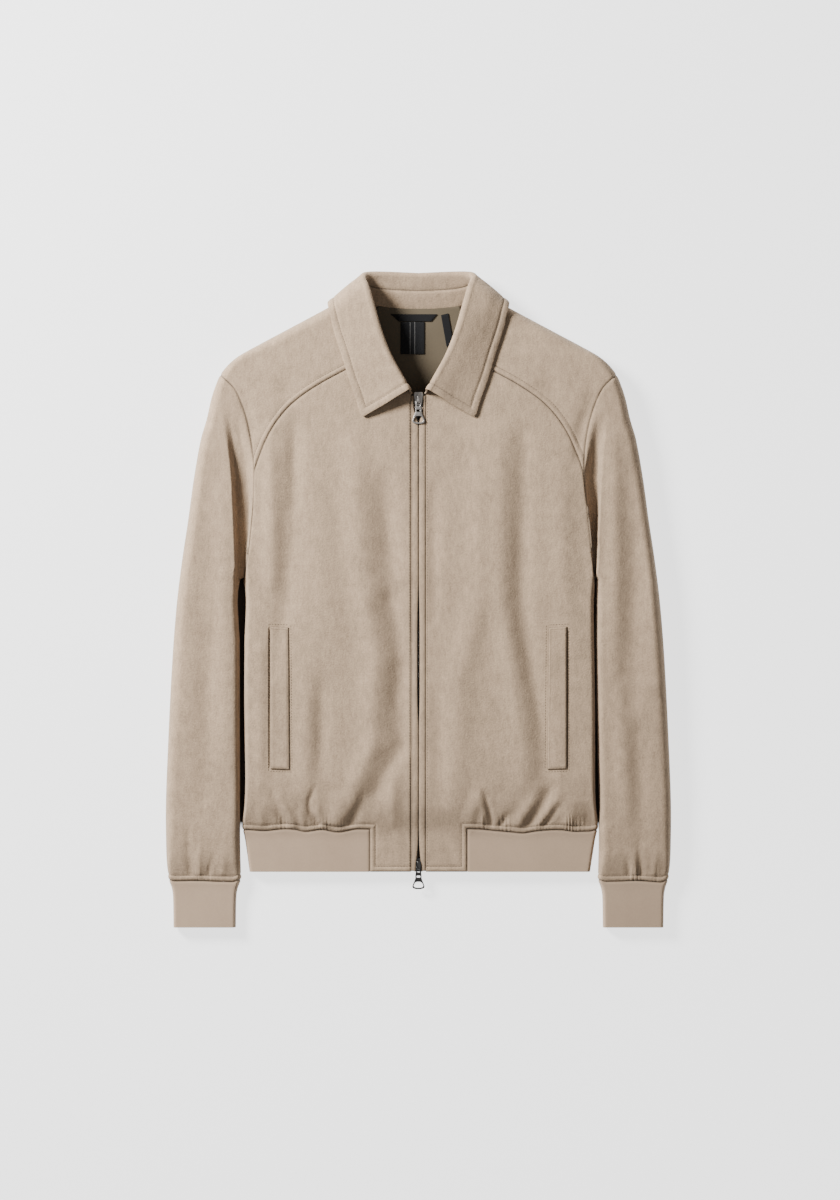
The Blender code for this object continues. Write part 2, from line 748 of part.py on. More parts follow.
def halved(points):
    """The points with the middle of each stretch between them."""
    middles = (points[1:] + points[:-1]) / 2
    return np.insert(points, np.arange(1, len(points)), middles, axis=0)


def mirrored(points, sign):
    return np.asarray(points) * np.array([sign, 1.0])


# ---------------------------------------------------------------- pieces


def front_columns(y, side_x):
    """Half widths of a front's grid columns at y, from the side to the zip strip."""
    outer = [side_x - step for step in SIDE_COLUMNS]
    middle = np.linspace(outer[-1], TAB_SIDE_X, FRONT_MIDDLE_CELLS + 1)[1:]
    tab = np.linspace(TAB_SIDE_X, EDGE_STRIP_X, TAB_CELLS + 1)[1:]
    return np.column_stack([[*outer, *middle, *tab], np.full(len(outer) + len(middle) + len(tab), y)])


def front_grid():
    """Plan points of the right front: tab rows, rows up to the armpit, rows up to the yoke."""
    lower = np.array([front_columns(y, x) for x, y in SIDE_POINTS])
    tab_ys = [HEM_BOTTOM_Y, *TAB_ROWS[::-1]]
    tab = np.array([np.column_stack([lower[0][:, 0], np.full(lower.shape[1], y)]) for y in tab_ys])
    cells = lower.shape[1] - 1
    yoke_line = spline(YOKE_SEAM)
    coarse = at_distances(yoke_line, np.linspace(0, lengths(yoke_line)[-1], cells // 2 + 1))
    zip_line = [(EDGE_STRIP_X, ARMPIT_Y + step) for step in (0.0, *FRONT_CENTRE_STEPS)]
    upper = coons(lower[-1], halved(coarse), ARMHOLE_LOW_FINE, [*zip_line, *FRONT_NECK])
    return np.concatenate([tab, lower, upper[1:]]), len(tab), coarse


FRONT_PLAN, TAB_ROW_COUNT, YOKE_SEAM_POINTS = front_grid()
FRONT_MAIN_CELLS = len(SIDE_COLUMNS) - 1 + FRONT_MIDDLE_CELLS


def front_shape(sign):
    points, normals = layer(mirrored(FRONT_PLAN, sign), "top")
    for edge, plan in (
        (np.s_[-1, :], YOKE_SEAM_POINTS),
        (np.s_[-len(ARMHOLE_LOW_FINE) :, 0], ARMHOLE_LOW_POINTS),
    ):
        coarse = layer(mirrored(plan, sign), "top")
        points[edge], normals[edge] = follow(mirrored(FRONT_PLAN[edge], sign), *coarse)
    return points, normals


def make_front(name, sign, material):
    points, normals = front_shape(sign)
    rows, columns = points.shape[0] - 1, points.shape[1] - 1
    keep = np.ones((rows, columns), bool)
    keep[:TAB_ROW_COUNT, :FRONT_MAIN_CELLS] = False
    return wall(name, points, normals, SUEDE_WALL, material, keep)


def make_pocket_welt(name, sign, material):
    """A strip on the front, made from the front's own points between two rows and two columns."""
    first_row = TAB_ROW_COUNT + 1 + len(HEM_ROWS)
    first_column = len(SIDE_COLUMNS) - 3
    points, normals = front_shape(sign)
    block = np.s_[first_row : first_row + WELT_CELLS + 1, first_column : first_column + 3]
    return wall(name, *lift_off(points[block], normals[block], SEAM_GAP, SUEDE_WALL), SUEDE_WALL, material)


def make_yoke(name, sign, material):
    neck = YOKE_NECK_POINTS[::-1]
    armhole = ARMHOLE_TOP_POINTS[::-1]
    shoulder = halved(SHOULDER_POINTS)
    plan = mirrored(coons(YOKE_SEAM_POINTS, shoulder, armhole, neck), sign)
    return wall(name, *layer(plan, "top"), SUEDE_WALL, material)


def back_columns(half):
    """Half widths of the back's grid columns where its edge is at `half`, from left to right."""
    left = -half * (1 - np.array(BACK_SIDE_COLUMNS) / BACK_SIDE_COLUMNS[-1])
    return np.array([*left, *-left[-2::-1]])


def back_grid():
    columns = 2 * len(BACK_SIDE_COLUMNS) - 1
    lower = np.array([np.column_stack([back_columns(x), np.full(columns, y)]) for x, y in SIDE_POINTS[::2]])
    top = np.vstack([SHOULDER_POINTS, BACK_NECK_POINTS[1:]])
    top = np.vstack([mirrored(top, -1), top[-2::-1]])
    upper = coons(lower[-1], top, mirrored(ARMHOLE_BACK_POINTS, -1), ARMHOLE_BACK_POINTS)
    return layer(np.concatenate([lower, upper[1:]]), "bottom")


def make_back(name, material):
    return wall(name, *back_grid(), SUEDE_WALL, material)


def sleeve_plans():
    """Plan points of a right sleeve's upper and under layers, from the cuff seam to the shoulder tip.

    Both run from the outside of the sleeve to the inside. Above the armpit their inner edges part,
    one along the front of the armhole and one along its back.
    """
    inside = points_at_y(SLEEVE_INSIDE, np.array(SLEEVE_ROWS))
    up_front = [*ARMHOLE_LOW_POINTS[1:], *ARMHOLE_TOP_POINTS[-2 : TIP_CELLS - 1 : -1]]
    up_back = ARMHOLE_BACK_POINTS[1 : len(up_front) + 1]
    plans = []
    for upper, shares, armhole in (
        (up_front, SLEEVE_TOP_SHARES, ARMHOLE_TOP_POINTS[: TIP_CELLS + 1]),
        (up_back, SLEEVE_UNDER_SHARES, ARMHOLE_BACK_POINTS[: -TIP_CELLS - 2 : -1]),
    ):
        edge = np.vstack([inside, upper])
        stretch = (SHOULDER_TIP[1] - CUFF_SEAM_Y) / (edge[-1, 1] - CUFF_SEAM_Y)
        outside = points_at_y(SLEEVE_OUTSIDE, CUFF_SEAM_Y + stretch * (edge[:, 1] - CUFF_SEAM_Y))
        low = outside[0] + np.outer(shares, edge[0] - outside[0])
        tip = at_distances(armhole, np.array(shares) * lengths(armhole)[-1])
        plans.append(coons(low, tip, outside, edge))
    return plans


def tube(upper, under, sign):
    """Points and normals round a flattened tube: across the upper layer, and back across the under one."""
    top_points, top_normals = layer(mirrored(upper, sign), "top")
    low_points, low_normals = layer(mirrored(under, sign), "bottom")
    points = np.concatenate([top_points[:, ::-1], low_points[:, 1:]], axis=1)
    return points, np.concatenate([top_normals[:, ::-1], low_normals[:, 1:]], axis=1)


def make_sleeve(name, sign, material):
    """An upper and an under wall, which meet along the two edges of the lying sleeve."""
    upper, under = sleeve_plans()
    for part, plan, tip, which in (
        (name, upper, ARMHOLE_TOP_POINTS[: TIP_CELLS + 1], "top"),
        (f"{name}_under", under, ARMHOLE_BACK_POINTS[-TIP_CELLS - 1 :], "bottom"),
    ):
        points, normals = layer(mirrored(plan, sign), which)
        points[-1], normals[-1] = follow(points[-1][:, :2], *layer(mirrored(tip, sign), which))
        wall(part, points, normals, SUEDE_WALL, material)


def make_cuff(name, sign, material):
    ys = np.array(CUFF_ROWS)
    outside, inside = points_at_y(OUTER[len(OUTER) // 2 :], ys), points_at_y(INNER, ys)

    def rows(shares):
        return outside[:, None] + np.asarray(shares)[None, :, None] * (inside - outside)[:, None]

    points, normals = tube(rows(SLEEVE_TOP_SHARES), rows(SLEEVE_UNDER_SHARES), sign)
    return wall(name, points, normals, RIB_WALL, material)


def make_hem_rib(name, material):
    """One band from the left tab round the back to the right tab."""
    points, normals = [], []
    for y in (HEM_BOTTOM_Y, *TAB_ROWS[::-1], HEM_SEAM_Y):
        half = points_at_y(BODY_SIDE, [y])[0, 0]
        front = front_columns(y, half)[: FRONT_MAIN_CELLS + 1]
        columns = back_columns(half)
        back = np.column_stack([columns, np.full(len(columns), y)])
        sides = [
            layer(mirrored(front[::-1], -1), "top"),
            layer(back[1:-1], "bottom"),
            layer(front, "top"),
        ]
        points.append(np.vstack([side[0] for side in sides]))
        normals.append(np.vstack([side[1] for side in sides]))
    return wall(name, np.array(points), np.array(normals), RIB_WALL, material)


# ---------------------------------------------------------------- collar


def neck_edge():
    """The right half of the neck seam from the zip to the centre back, with normals and ways in."""
    front = np.vstack([FRONT_NECK, YOKE_NECK_POINTS[-2::-1]])
    top_points, top_normals = layer(front, "top")
    low_points, low_normals = layer(BACK_NECK_POINTS[1:], "bottom")
    points = np.vstack([top_points, low_points])
    normals = np.vstack([top_normals, low_normals])
    run = np.gradient(points, axis=0)
    inwards = np.cross(normals, run)
    inwards /= np.linalg.norm(inwards, axis=1)[:, None]
    centre = np.array([0.0, 365.0, 20.0])
    inwards *= np.sign(((centre - points) * inwards).sum(1))[:, None]
    return points, normals, inwards


def collar_sections():
    """Centre lines of the collar's cross-sections from the front end to the centre back."""
    points, normals, inwards = neck_edge()
    edge = points + inwards * (SEAM_GAP + COLLAR_WALL / 2) - normals * SUEDE_WALL / 2
    run = lengths(points)
    shares = run / run[-1]
    stations = [0.0]
    for k in range(len(shares) - 1):
        cells = NECK_CELLS.get(k, 1)
        stations.extend(shares[k] + np.arange(1, cells + 1) * (shares[k + 1] - shares[k]) / cells)
    neck = np.stack([np.interp(stations, shares, edge[:, k]) for k in range(3)], axis=1)
    columns = np.array(COLLAR_STATIONS).T
    rows = np.arange(len(COLLAR_STATIONS))
    index = np.interp(stations, columns[0], rows)
    roll = spline_values(columns[1:4].T, index)
    sections = []
    for k, where in enumerate(index):
        which = "top" if where <= COLLAR_WRAP_STATION else "bottom"
        middle_x, middle_y, puff, edge_x, edge_y = (np.interp(where, rows, values) for values in columns[4:])
        clear = COLLAR_CLEARANCE + COLLAR_WALL / 2
        low, normal = layer([(middle_x, middle_y)], which)
        middle = (low + normal * (clear + puff))[0]
        low, normal = layer([(edge_x, edge_y)], which)
        wrap = WRAP_CLEARANCE * math.exp(-((where - COLLAR_WRAP_STATION) ** 2))
        tip = (low + normal * (clear + wrap))[0]
        for point in (middle, tip):
            point[2] = max(point[2], COLLAR_WALL / 2)
        sections.append(collar_section(neck[k], roll[k], middle, tip))
    return np.array(sections)


def spline_values(rows, index):
    """Rows of a table read at fractional row numbers, on a smooth curve."""
    padded = np.vstack([2 * rows[0] - rows[1], rows, 2 * rows[-1] - rows[-2]])
    whole = np.clip(index.astype(int), 0, len(rows) - 2)
    t = (index - whole)[:, None]
    a, b, c, d = (padded[whole + k] for k in range(4))
    return 0.5 * (2 * b + (c - a) * t + (2 * a - 5 * b + 4 * c - d) * t**2 + (3 * b - a - 3 * c + d) * t**3)


def collar_section(neck, roll, middle, tip):
    """Up the stand, over the roll, and down the leaf to its edge."""
    apex = roll - (neck + middle) / 2
    apex /= np.linalg.norm(apex)
    across = neck - middle
    across -= np.dot(across, apex) * apex
    across /= np.linalg.norm(across)
    hub = roll - ROLL_RADIUS * apex
    start = hub + ROLL_RADIUS * across
    stand_top = neck + STAND_SHARE * (start - neck)
    arc = [
        hub + ROLL_RADIUS * (math.cos(angle) * across + math.sin(angle) * apex)
        for angle in np.radians(ROLL_ANGLES)
    ]
    leaf_high = arc[-1] + 0.5 * (middle - arc[-1]) + 0.06 * np.linalg.norm(middle - arc[-1]) * apex
    leaf_low = 0.5 * (middle + tip) + 0.12 * (middle - tip)
    stand = [neck + share * (stand_top - neck) for share in np.linspace(0, 1, STAND_POINTS)]
    return np.array([*stand, *arc, leaf_high, middle, leaf_low, tip])


def section_normals(sections):
    """Unit directions across the collar's wall, away from its stand side's neck opening."""
    along = np.gradient(sections, axis=0)
    down = np.gradient(sections, axis=1)
    normals = np.cross(along, down)
    return normals / np.linalg.norm(normals, axis=2)[..., None]


def make_collar_piece(name, sections, normals, material):
    return wall(name, sections + normals * COLLAR_WALL / 2, normals, COLLAR_WALL, material)


def make_collar(material):
    half = collar_sections()
    whole = np.concatenate([half * np.array([-1.0, 1.0, 1.0]), half[-2::-1]])
    normals = section_normals(whole)
    make_collar_piece("collar_stand", whole[:, :STAND_POINTS], normals[:, :STAND_POINTS], material)
    leaf = np.s_[:, STAND_POINTS - 1 :]
    make_collar_piece("collar_leaf", whole[leaf], normals[leaf], material)


# ---------------------------------------------------------------- lining and labels


def back_inside(plan, clear, thickness):
    """Points and upward normals of a piece that lies on the inside of the back."""
    points, normals = layer(plan, "bottom")
    return lift_off(points - SUEDE_WALL * normals, -normals, clear, thickness)


def make_back_lining(name, material):
    """The lining that shows through the neck, on the inside of the back's own grid."""
    points, normals = back_grid()
    neck = len(SHOULDER_POINTS)
    block = np.s_[LINING_FIRST_ROW : -2, neck : points.shape[1] - neck]
    inner = points[block] - SUEDE_WALL * normals[block]
    return wall(name, *lift_off(inner, -normals[block], SEAM_GAP, LINING_WALL), LINING_WALL, material)


def make_label(name, corners, material, cells=1):
    """A flat strip on the lining between four plan corners: bottom left, right, top left, right."""
    low_left, low_right, high_left, high_right = (np.array(corner) for corner in corners)
    shares = np.linspace(0, 1, cells + 1)[:, None]
    left = low_left + shares * (high_left - low_left)
    right = low_right + shares * (high_right - low_right)
    plan = np.stack([left, right], axis=1)
    clear = 2 * SEAM_GAP + LINING_WALL
    return wall(name, *back_inside(plan, clear, LABEL_WALL), LABEL_WALL, material)


# ---------------------------------------------------------------- zip


def slit_half_width(y):
    table = sorted(STRIP_SLIT)
    return np.interp(y, [row[0] for row in table], [row[1] for row in table])


def tape_drop(y):
    table = sorted(TAPE_DROPS)
    return np.interp(y, [row[0] for row in table], [row[1] for row in table])


def strip_rows():
    even = np.linspace(STRIP_BOTTOM_Y, STRIP_TOP_Y, STRIP_CELLS)
    bends = [y for y, _ in (*STRIP_SLIT, *TAPE_DROPS) if STRIP_BOTTOM_Y < y < STRIP_TOP_Y]
    return np.unique([*even, *bends])


def make_edge_strip(name, sign, material):
    ys = strip_rows()
    plan = np.array([[(EDGE_STRIP_X, y), (slit_half_width(y), y)] for y in ys])
    return wall(name, *layer(mirrored(plan, sign), "top"), SUEDE_WALL, material)


def make_zip_tape(name, sign, material):
    """A tape under the strip and the front's edge."""
    ys = strip_rows()
    inner = TAPE_CLOSED + TAPE_SPREAD * (slit_half_width(ys) - STRIP_OPEN)
    plan = np.array([[(TAPE_OUTER_X, y), (x, y)] for x, y in zip(inner, ys)])
    points, normals = layer(mirrored(plan, sign), "top")
    drop = (SUEDE_WALL + tape_drop(ys))[:, None, None]
    return wall(name, points - drop * normals, normals, TAPE_WALL, material)


def zip_height(y):
    """Height of the cloth's top at the zip."""
    return layer([(0.0, y)], "top")[0][0, 2]


def add_box(name, size, centre, material):
    made = bmesh.new()
    place = Matrix.Translation(centre) @ Matrix.Diagonal((*size, 1.0))
    bmesh.ops.create_cube(made, size=1.0, matrix=place)
    return add_object(name, made, material)


def add_plate(name, low, high, turn, material):
    """A plate of the slider's outline, with eased edges; `turn` is -1 where its wide end points down."""
    made = bmesh.new()
    outline = [*SLIDER_HALF_OUTLINE, *((-x, y) for x, y in SLIDER_HALF_OUTLINE[::-1])]
    face = made.faces.new([made.verts.new((x, turn * y, low)) for x, y in outline])
    raised = bmesh.ops.extrude_face_region(made, geom=[face])["geom"]
    lifted = [part for part in raised if isinstance(part, bmesh.types.BMVert)]
    bmesh.ops.translate(made, vec=(0, 0, high - low), verts=lifted)
    bmesh.ops.recalc_face_normals(made, faces=made.faces)
    bmesh.ops.bevel(made, geom=made.edges[:], offset=SLIDER_EDGE, segments=2, profile=0.5, affect="EDGES")
    return add_object(name, made, material)


def make_slider(name, y, turn, material):
    """Two plates above and under the tapes, the stem between them, and the bridge on top.

    Returns the y and the height of the pull tab's axis.
    """
    low = TAPE_CLEARANCE - SUEDE_WALL - tape_drop(y)
    top = low + SLIDER_PLATE
    under = low - TAPE_WALL - 2 * TAPE_CLEARANCE
    slider = add_plate(name, low, top, turn, material)
    axis = top + PULL_AXIS_RISE
    hole_y, hole_z = BRIDGE_HOLE
    leg_y = (hole_y + BRIDGE_LEG) / 2
    leg_top = axis + hole_z / 2 + BRIDGE_TOP
    leg_low = top - SLIDER_PLATE / 2
    leg_size = (BRIDGE_WIDTH, BRIDGE_LEG, leg_top - leg_low)
    bar_low = axis + hole_z / 2
    stem_centre = (0, 0, (top + under - SLIDER_PLATE) / 2)
    joined = [
        add_plate(f"{name}_under", under - SLIDER_PLATE, under, turn, material),
        add_box(f"{name}_stem", (*STEM_SIZE, top - under), stem_centre, material),
        add_box(f"{name}_leg_low", leg_size, (0, -leg_y, (leg_top + leg_low) / 2), material),
        add_box(f"{name}_leg_high", leg_size, (0, leg_y, (leg_top + leg_low) / 2), material),
        add_box(
            f"{name}_bridge",
            (BRIDGE_WIDTH, hole_y + 2 * BRIDGE_LEG, leg_top - bar_low),
            (0, 0, (leg_top + bar_low) / 2),
            material,
        ),
    ]
    height = zip_height(y)
    for thing in (slider, *joined):
        thing.location = (0, y * MM, height * MM)
    for helper in joined:
        helper.hide_render = True
        helper.display_type = "WIRE"
        union = slider.modifiers.new(helper.name, "BOOLEAN")
        union.operation = "UNION"
        union.object = helper
    return y - PULL_SETBACK, height + axis


def outline_points(half):
    """Both sides of an outline given as half widths and distances down."""
    return [(x, -down) for x, down in half] + [(-x, -down) for x, down in half[::-1]]


def make_pull(name, y, height, droop, material):
    """A flat tab whose top bar is its axis, with a window for the bridge and one for the fingers."""
    made = bmesh.new()
    for outline in (PULL_OUTLINE, *PULL_WINDOWS):
        corners = [made.verts.new((x, along, -PULL_HALF_PLATE)) for x, along in outline_points(outline)]
        for start, end in zip(corners, corners[1:] + corners[:1]):
            made.edges.new((start, end))
    bmesh.ops.triangle_fill(made, use_beauty=True, edges=made.edges[:], normal=(0, 0, 1))
    raised = bmesh.ops.extrude_face_region(made, geom=made.faces[:])["geom"]
    lifted = [part for part in raised if isinstance(part, bmesh.types.BMVert)]
    bmesh.ops.translate(made, vec=(0, 0, 2 * PULL_HALF_PLATE), verts=lifted)
    bmesh.ops.recalc_face_normals(made, faces=made.faces)
    pull = add_object(name, made, material)
    pull.location = (0, y * MM, height * MM)
    pull.rotation_euler = (droop, 0, 0)
    return pull


# ---------------------------------------------------------------- scene


def clear_scene():
    for thing in list(bpy.data.objects):
        bpy.data.objects.remove(thing, do_unlink=True)


def main():
    clear_scene()
    suede = new_material("suede", (0.46, 0.38, 0.31), 0.9)
    rib = new_material("rib_knit", (0.42, 0.35, 0.28), 0.95)
    lining = new_material("lining", (0.14, 0.10, 0.07), 0.6)
    woven = new_material("woven_label", (0.01, 0.01, 0.01), 0.7)
    tape = new_material("zip_tape", (0.32, 0.26, 0.21), 0.9)
    metal = new_material("gunmetal", (0.16, 0.15, 0.14), 0.35, 1.0)
    for side, sign in (("left", -1), ("right", 1)):
        make_front(f"front_{side}", sign, suede)
        make_yoke(f"yoke_{side}", sign, suede)
        make_sleeve(f"sleeve_{side}", sign, suede)
        make_cuff(f"cuff_{side}", sign, rib)
        make_pocket_welt(f"pocket_welt_{side}", sign, suede)
        make_edge_strip(f"edge_strip_{side}", sign, suede)
        make_zip_tape(f"zip_tape_{side}", sign, tape)
    make_back("back_panel", suede)
    make_hem_rib("hem_rib", rib)
    make_collar(suede)
    make_back_lining("back_lining", lining)
    make_label("neck_label", NECK_LABEL_CORNERS, woven)
    make_label("hanger_tab", HANGER_TAB_CORNERS, woven, 2)
    make_label("side_tag", SIDE_TAG_CORNERS, woven, 2)
    top_axis = make_slider("slider_top", TOP_SLIDER_Y, 1, metal)
    make_pull("pull_top", *top_axis, TOP_PULL_DROOP, metal)
    bottom_axis = make_slider("slider_bottom", BOTTOM_SLIDER_Y, -1, metal)
    make_pull("pull_bottom", *bottom_axis, BOTTOM_PULL_DROOP, metal)


main()
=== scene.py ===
"""Looks of the suede blouson jacket: each cloth piece is made again, fine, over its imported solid.

Lengths in the tables are in millimetres; MM turns them into metres when a mesh is finished.
"""

import math

import bmesh
import bpy
import numpy as np
from mathutils import Matrix, Vector


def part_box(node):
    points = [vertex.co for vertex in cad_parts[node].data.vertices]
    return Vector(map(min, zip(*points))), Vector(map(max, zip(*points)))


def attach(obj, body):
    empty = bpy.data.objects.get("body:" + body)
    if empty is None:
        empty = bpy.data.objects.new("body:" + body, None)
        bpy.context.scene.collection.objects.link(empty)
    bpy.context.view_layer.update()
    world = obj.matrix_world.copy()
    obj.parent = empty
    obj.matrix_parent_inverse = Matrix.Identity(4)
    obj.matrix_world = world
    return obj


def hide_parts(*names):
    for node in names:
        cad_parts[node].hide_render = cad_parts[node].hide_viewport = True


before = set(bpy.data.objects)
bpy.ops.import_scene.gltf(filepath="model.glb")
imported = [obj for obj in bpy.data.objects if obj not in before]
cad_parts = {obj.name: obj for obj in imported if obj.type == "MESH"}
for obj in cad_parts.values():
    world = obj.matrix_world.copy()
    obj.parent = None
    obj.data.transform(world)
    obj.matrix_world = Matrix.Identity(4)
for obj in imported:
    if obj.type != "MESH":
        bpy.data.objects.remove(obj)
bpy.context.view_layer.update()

MM = 0.001
SIDES = (("left", -1), ("right", 1))

# ---------------------------------------------------------------- sizes shared with the solids

SUEDE_WALL = 1.8
RIB_WALL = 2.2
COLLAR_WALL = 2.4
LINING_WALL = 1.0
LABEL_WALL = 1.0
TAPE_WALL = 1.0
SEAM_GAP = 0.3
HALF_GAP = SEAM_GAP / 2

HEM_SEAM_X = 208.0
HEM_SEAM_Y = -270.8
HEM_BOTTOM_Y = -320.4
CUFF_OUTER_X = 293.9
CUFF_INNER_X = 210.5
CUFF_SEAM_Y = -329.8
CUFF_BOTTOM_Y = -385.9
ARMPIT_Y = 23.0
ZIP_TOP_Y = 240.0
EDGE_STRIP_X = 8.6
TAB_SIDE_X = 57.2
CENTRE_GAP_X = 207.5

OUTER_LINE = (
    # half width, y
    (71.4, 361.7),
    (98.9, 347.0),
    (126.3, 332.2),
    (161.7, 313.3),
    (197.0, 294.4),
    (213.0, 285.0),
    (224.0, 275.5),
    (233.0, 264.0),
    (239.0, 250.0),
    (243.7, 235.4),
    (249.0, 212.0),
    (256.0, 188.0),
    (264.3, 141.0),
    (270.8, 93.8),
    (277.9, 46.6),
    (283.8, -0.6),
    (287.9, -47.8),
    (290.9, -95.0),
    (294.4, -165.8),
    (297.2, -240.0),
    (297.0, -290.0),
    (296.1, -312.0),
    (294.7, -323.0),
    (CUFF_OUTER_X, CUFF_SEAM_Y),
    (293.2, -332.5),
    (290.6, -338.5),
    (289.2, -347.0),
    (288.5, CUFF_BOTTOM_Y),
)
SHOULDER_TIP = (233.0, 264.0)
NECK_POINT = (71.4, 361.7)
SLEEVE_INNER_LINE = (
    # half width, y
    (216.0, CUFF_BOTTOM_Y),
    (215.4, -347.0),
    (213.7, -338.5),
    (211.2, -332.5),
    (CUFF_INNER_X, CUFF_SEAM_Y),
    (210.4, -323.0),
    (211.2, -290.0),
    (211.5, -240.0),
    (210.7, -165.0),
    (209.9, -95.0),
    (209.6, -48.0),
    (209.3, -0.6),
    (CENTRE_GAP_X, ARMPIT_Y),
)
BODY_SIDE_LINE = (
    # half width, y
    (CENTRE_GAP_X, ARMPIT_Y),
    (205.4, -0.6),
    (205.3, -48.0),
    (205.6, -95.0),
    (205.5, -165.0),
    (205.4, -213.0),
    (206.2, -240.0),
    (208.4, -262.0),
    (HEM_SEAM_X, HEM_SEAM_Y),
    (205.5, -283.0),
    (200.0, HEM_BOTTOM_Y),
)
YOKE_SEAM = (
    (193.0, 149.5),
    (181.0, 182.0),
    (166.5, 208.0),
    (147.0, 230.5),
    (119.0, 250.5),
    (88.3, 267.5),
    (49.0, 288.0),
)
ARMHOLE_TOP = (
    (233.0, 264.0),
    (215.4, 246.6),
    (203.6, 220.0),
    (196.7, 191.0),
    (193.5, 161.0),
    (193.0, 149.5),
)
ARMHOLE_LOW = (
    (193.0, 149.5),
    (194.2, 106.8),
    (196.0, 85.6),
    (200.0, 52.5),
    (CENTRE_GAP_X, ARMPIT_Y),
)
ARMHOLE_BACK = (
    (CENTRE_GAP_X, ARMPIT_Y),
    (197.5, 60.0),
    (192.0, 110.0),
    (190.5, 160.0),
    (197.0, 210.0),
    (213.0, 245.0),
    (233.0, 264.0),
)
FRONT_NECK = ((EDGE_STRIP_X, ZIP_TOP_Y), (29.0, 264.0), (49.0, 288.0))
YOKE_NECK = ((49.0, 288.0), (59.6, 312.0), (67.5, 337.0), (71.4, 361.7))
BACK_NECK = ((71.4, 361.7), (65.0, 350.0), (50.0, 342.0), (25.0, 338.2), (0.0, 337.6))

BODY_HEIGHTS = (
    # y, plateau, side, turn
    (380.0, 27.0, 14.0, 30.0),
    (264.0, 31.0, 14.0, 32.0),
    (150.0, 31.0, 14.0, 30.0),
    (23.0, 31.5, 14.0, 27.0),
    (-150.0, 30.0, 12.5, 25.0),
    (-215.0, 29.0, 11.5, 22.0),
    (-245.0, 25.5, 10.0, 17.0),
    (-262.0, 19.5, 8.5, 12.0),
    (-274.0, 15.5, 7.5, 10.0),
    (-330.0, 14.5, 7.2, 9.0),
)
SLEEVE_HEIGHTS = (
    # y, plateau, side, turn
    (264.0, 31.0, 14.0, 32.0),
    (150.0, 30.5, 14.0, 34.0),
    (23.0, 30.0, 14.0, 34.0),
    (-150.0, 28.0, 12.5, 33.0),
    (-270.0, 26.0, 11.5, 29.0),
    (-305.0, 23.5, 10.0, 21.0),
    (-322.0, 18.0, 8.5, 13.0),
    (-334.0, 15.8, 7.6, 10.0),
    (-390.0, 15.0, 7.4, 9.0),
)
TOP_TURN_SHARE = 0.36
CRISP_SHARE = 0.5  # how much tighter the lying folds beside the slots are
CRISP_REACH = 16.0
CRISP_LOW_Y = -300.0
CRISP_EASE = 60.0
PLATEAU, SIDE, TURN = 1, 2, 3  # columns of the two height tables
HEIGHT_EASE = (-9, -6, -3, 0, 3, 6, 9)
BLEND_WIDTH = 40.0  # from the body's heights to the sleeve's, above the armpit
BLEND_RISE = 60.0
SLOPE_STEP = 0.5
BACK_TURN_SHARE = 0.75
COLLAR_LIFT = 3.6
LIFT_START_Y = 246.0
LIFT_END_Y = 284.0
LIFT_HALF_WIDTH = 150.0
LIFT_SIDE_EASE = 30.0

FOLDS = (
    # points x, y along the fold's crest or trough; half width; height
    (((-173, 195), (-171, 20)), 11.0, 3.8),
    (((-145, 205), (-146, 110)), 8.5, -3.4),
    (((-146, 100), (-156, -10), (-172, -90)), 13.0, -2.8),
    (((-75, 176), (-72, 105), (-67, 46), (-61, 0)), 17.0, 4.6),
    (((-61, 0), (-50, -71), (-52, -118), (-54, -172)), 15.0, 4.8),
    (((-54, -172), (-73, -215), (-88, -258)), 12.0, 3.8),
    (((-39, 141), (-33, 46), (-31, 0)), 12.0, -3.6),
    (((-31, 0), (-20, -71), (-23, -118), (-20, -172)), 11.0, -4.2),
    (((-20, -172), (-39, -207), (-56, -240)), 10.0, -3.0),
    (((-31, -205), (-30, -262)), 7.0, 2.2),
    (((-130, -80), (-133, -225)), 12.0, 2.6),
    (((-113, -107), (-114, -201)), 9.0, -2.4),
    (((-118, 170), (-112, 40), (-104, -60)), 20.0, 2.0),
    (((-184, -60), (-186, -215)), 9.0, 2.0),
    (((96, 190), (96, 0), (108, -71), (120, -142), (122, -215)), 14.0, 3.8),
    (((124, 190), (121, 0), (131, -71), (144, -142), (150, -225)), 11.0, -3.4),
    (((75, 190), (72, 0), (47, -95), (44, -237)), 16.0, 3.0),
    (((18, 130), (18, -24)), 7.0, -2.0),
    (((22, -110), (26, -236)), 8.0, -1.6),
    (((168, 150), (170, 20), (182, -60)), 14.0, 2.4),
    (((72, -225), (60, -262)), 9.0, 2.4),
    (((-228, 120), (-226, -20), (-224, -190)), 10.0, 1.6),
    (((-262, 190), (-268, 40), (-276, -150)), 15.0, 2.2),
    (((-246, -40), (-250, -230)), 11.0, -2.0),
    (((228, 188), (231, 20), (230, -80)), 10.0, 2.6),
    (((250, 150), (254, 20), (250, -120)), 12.0, -2.4),
    (((272, 120), (278, -100)), 10.0, 2.0),
    (((236, -110), (244, -250)), 10.0, 2.2),
    (((258, -150), (262, -280)), 10.0, -1.8),
    (((-205, 236), (-196, 200), (-194, 172)), 7.0, -2.6),
    (((203, 236), (190, 196), (186, 165)), 8.0, -2.4),
    (((-160, 262), (-150, 236)), 12.0, -1.8),
    (((150, 262), (158, 236)), 12.0, -1.8),
)
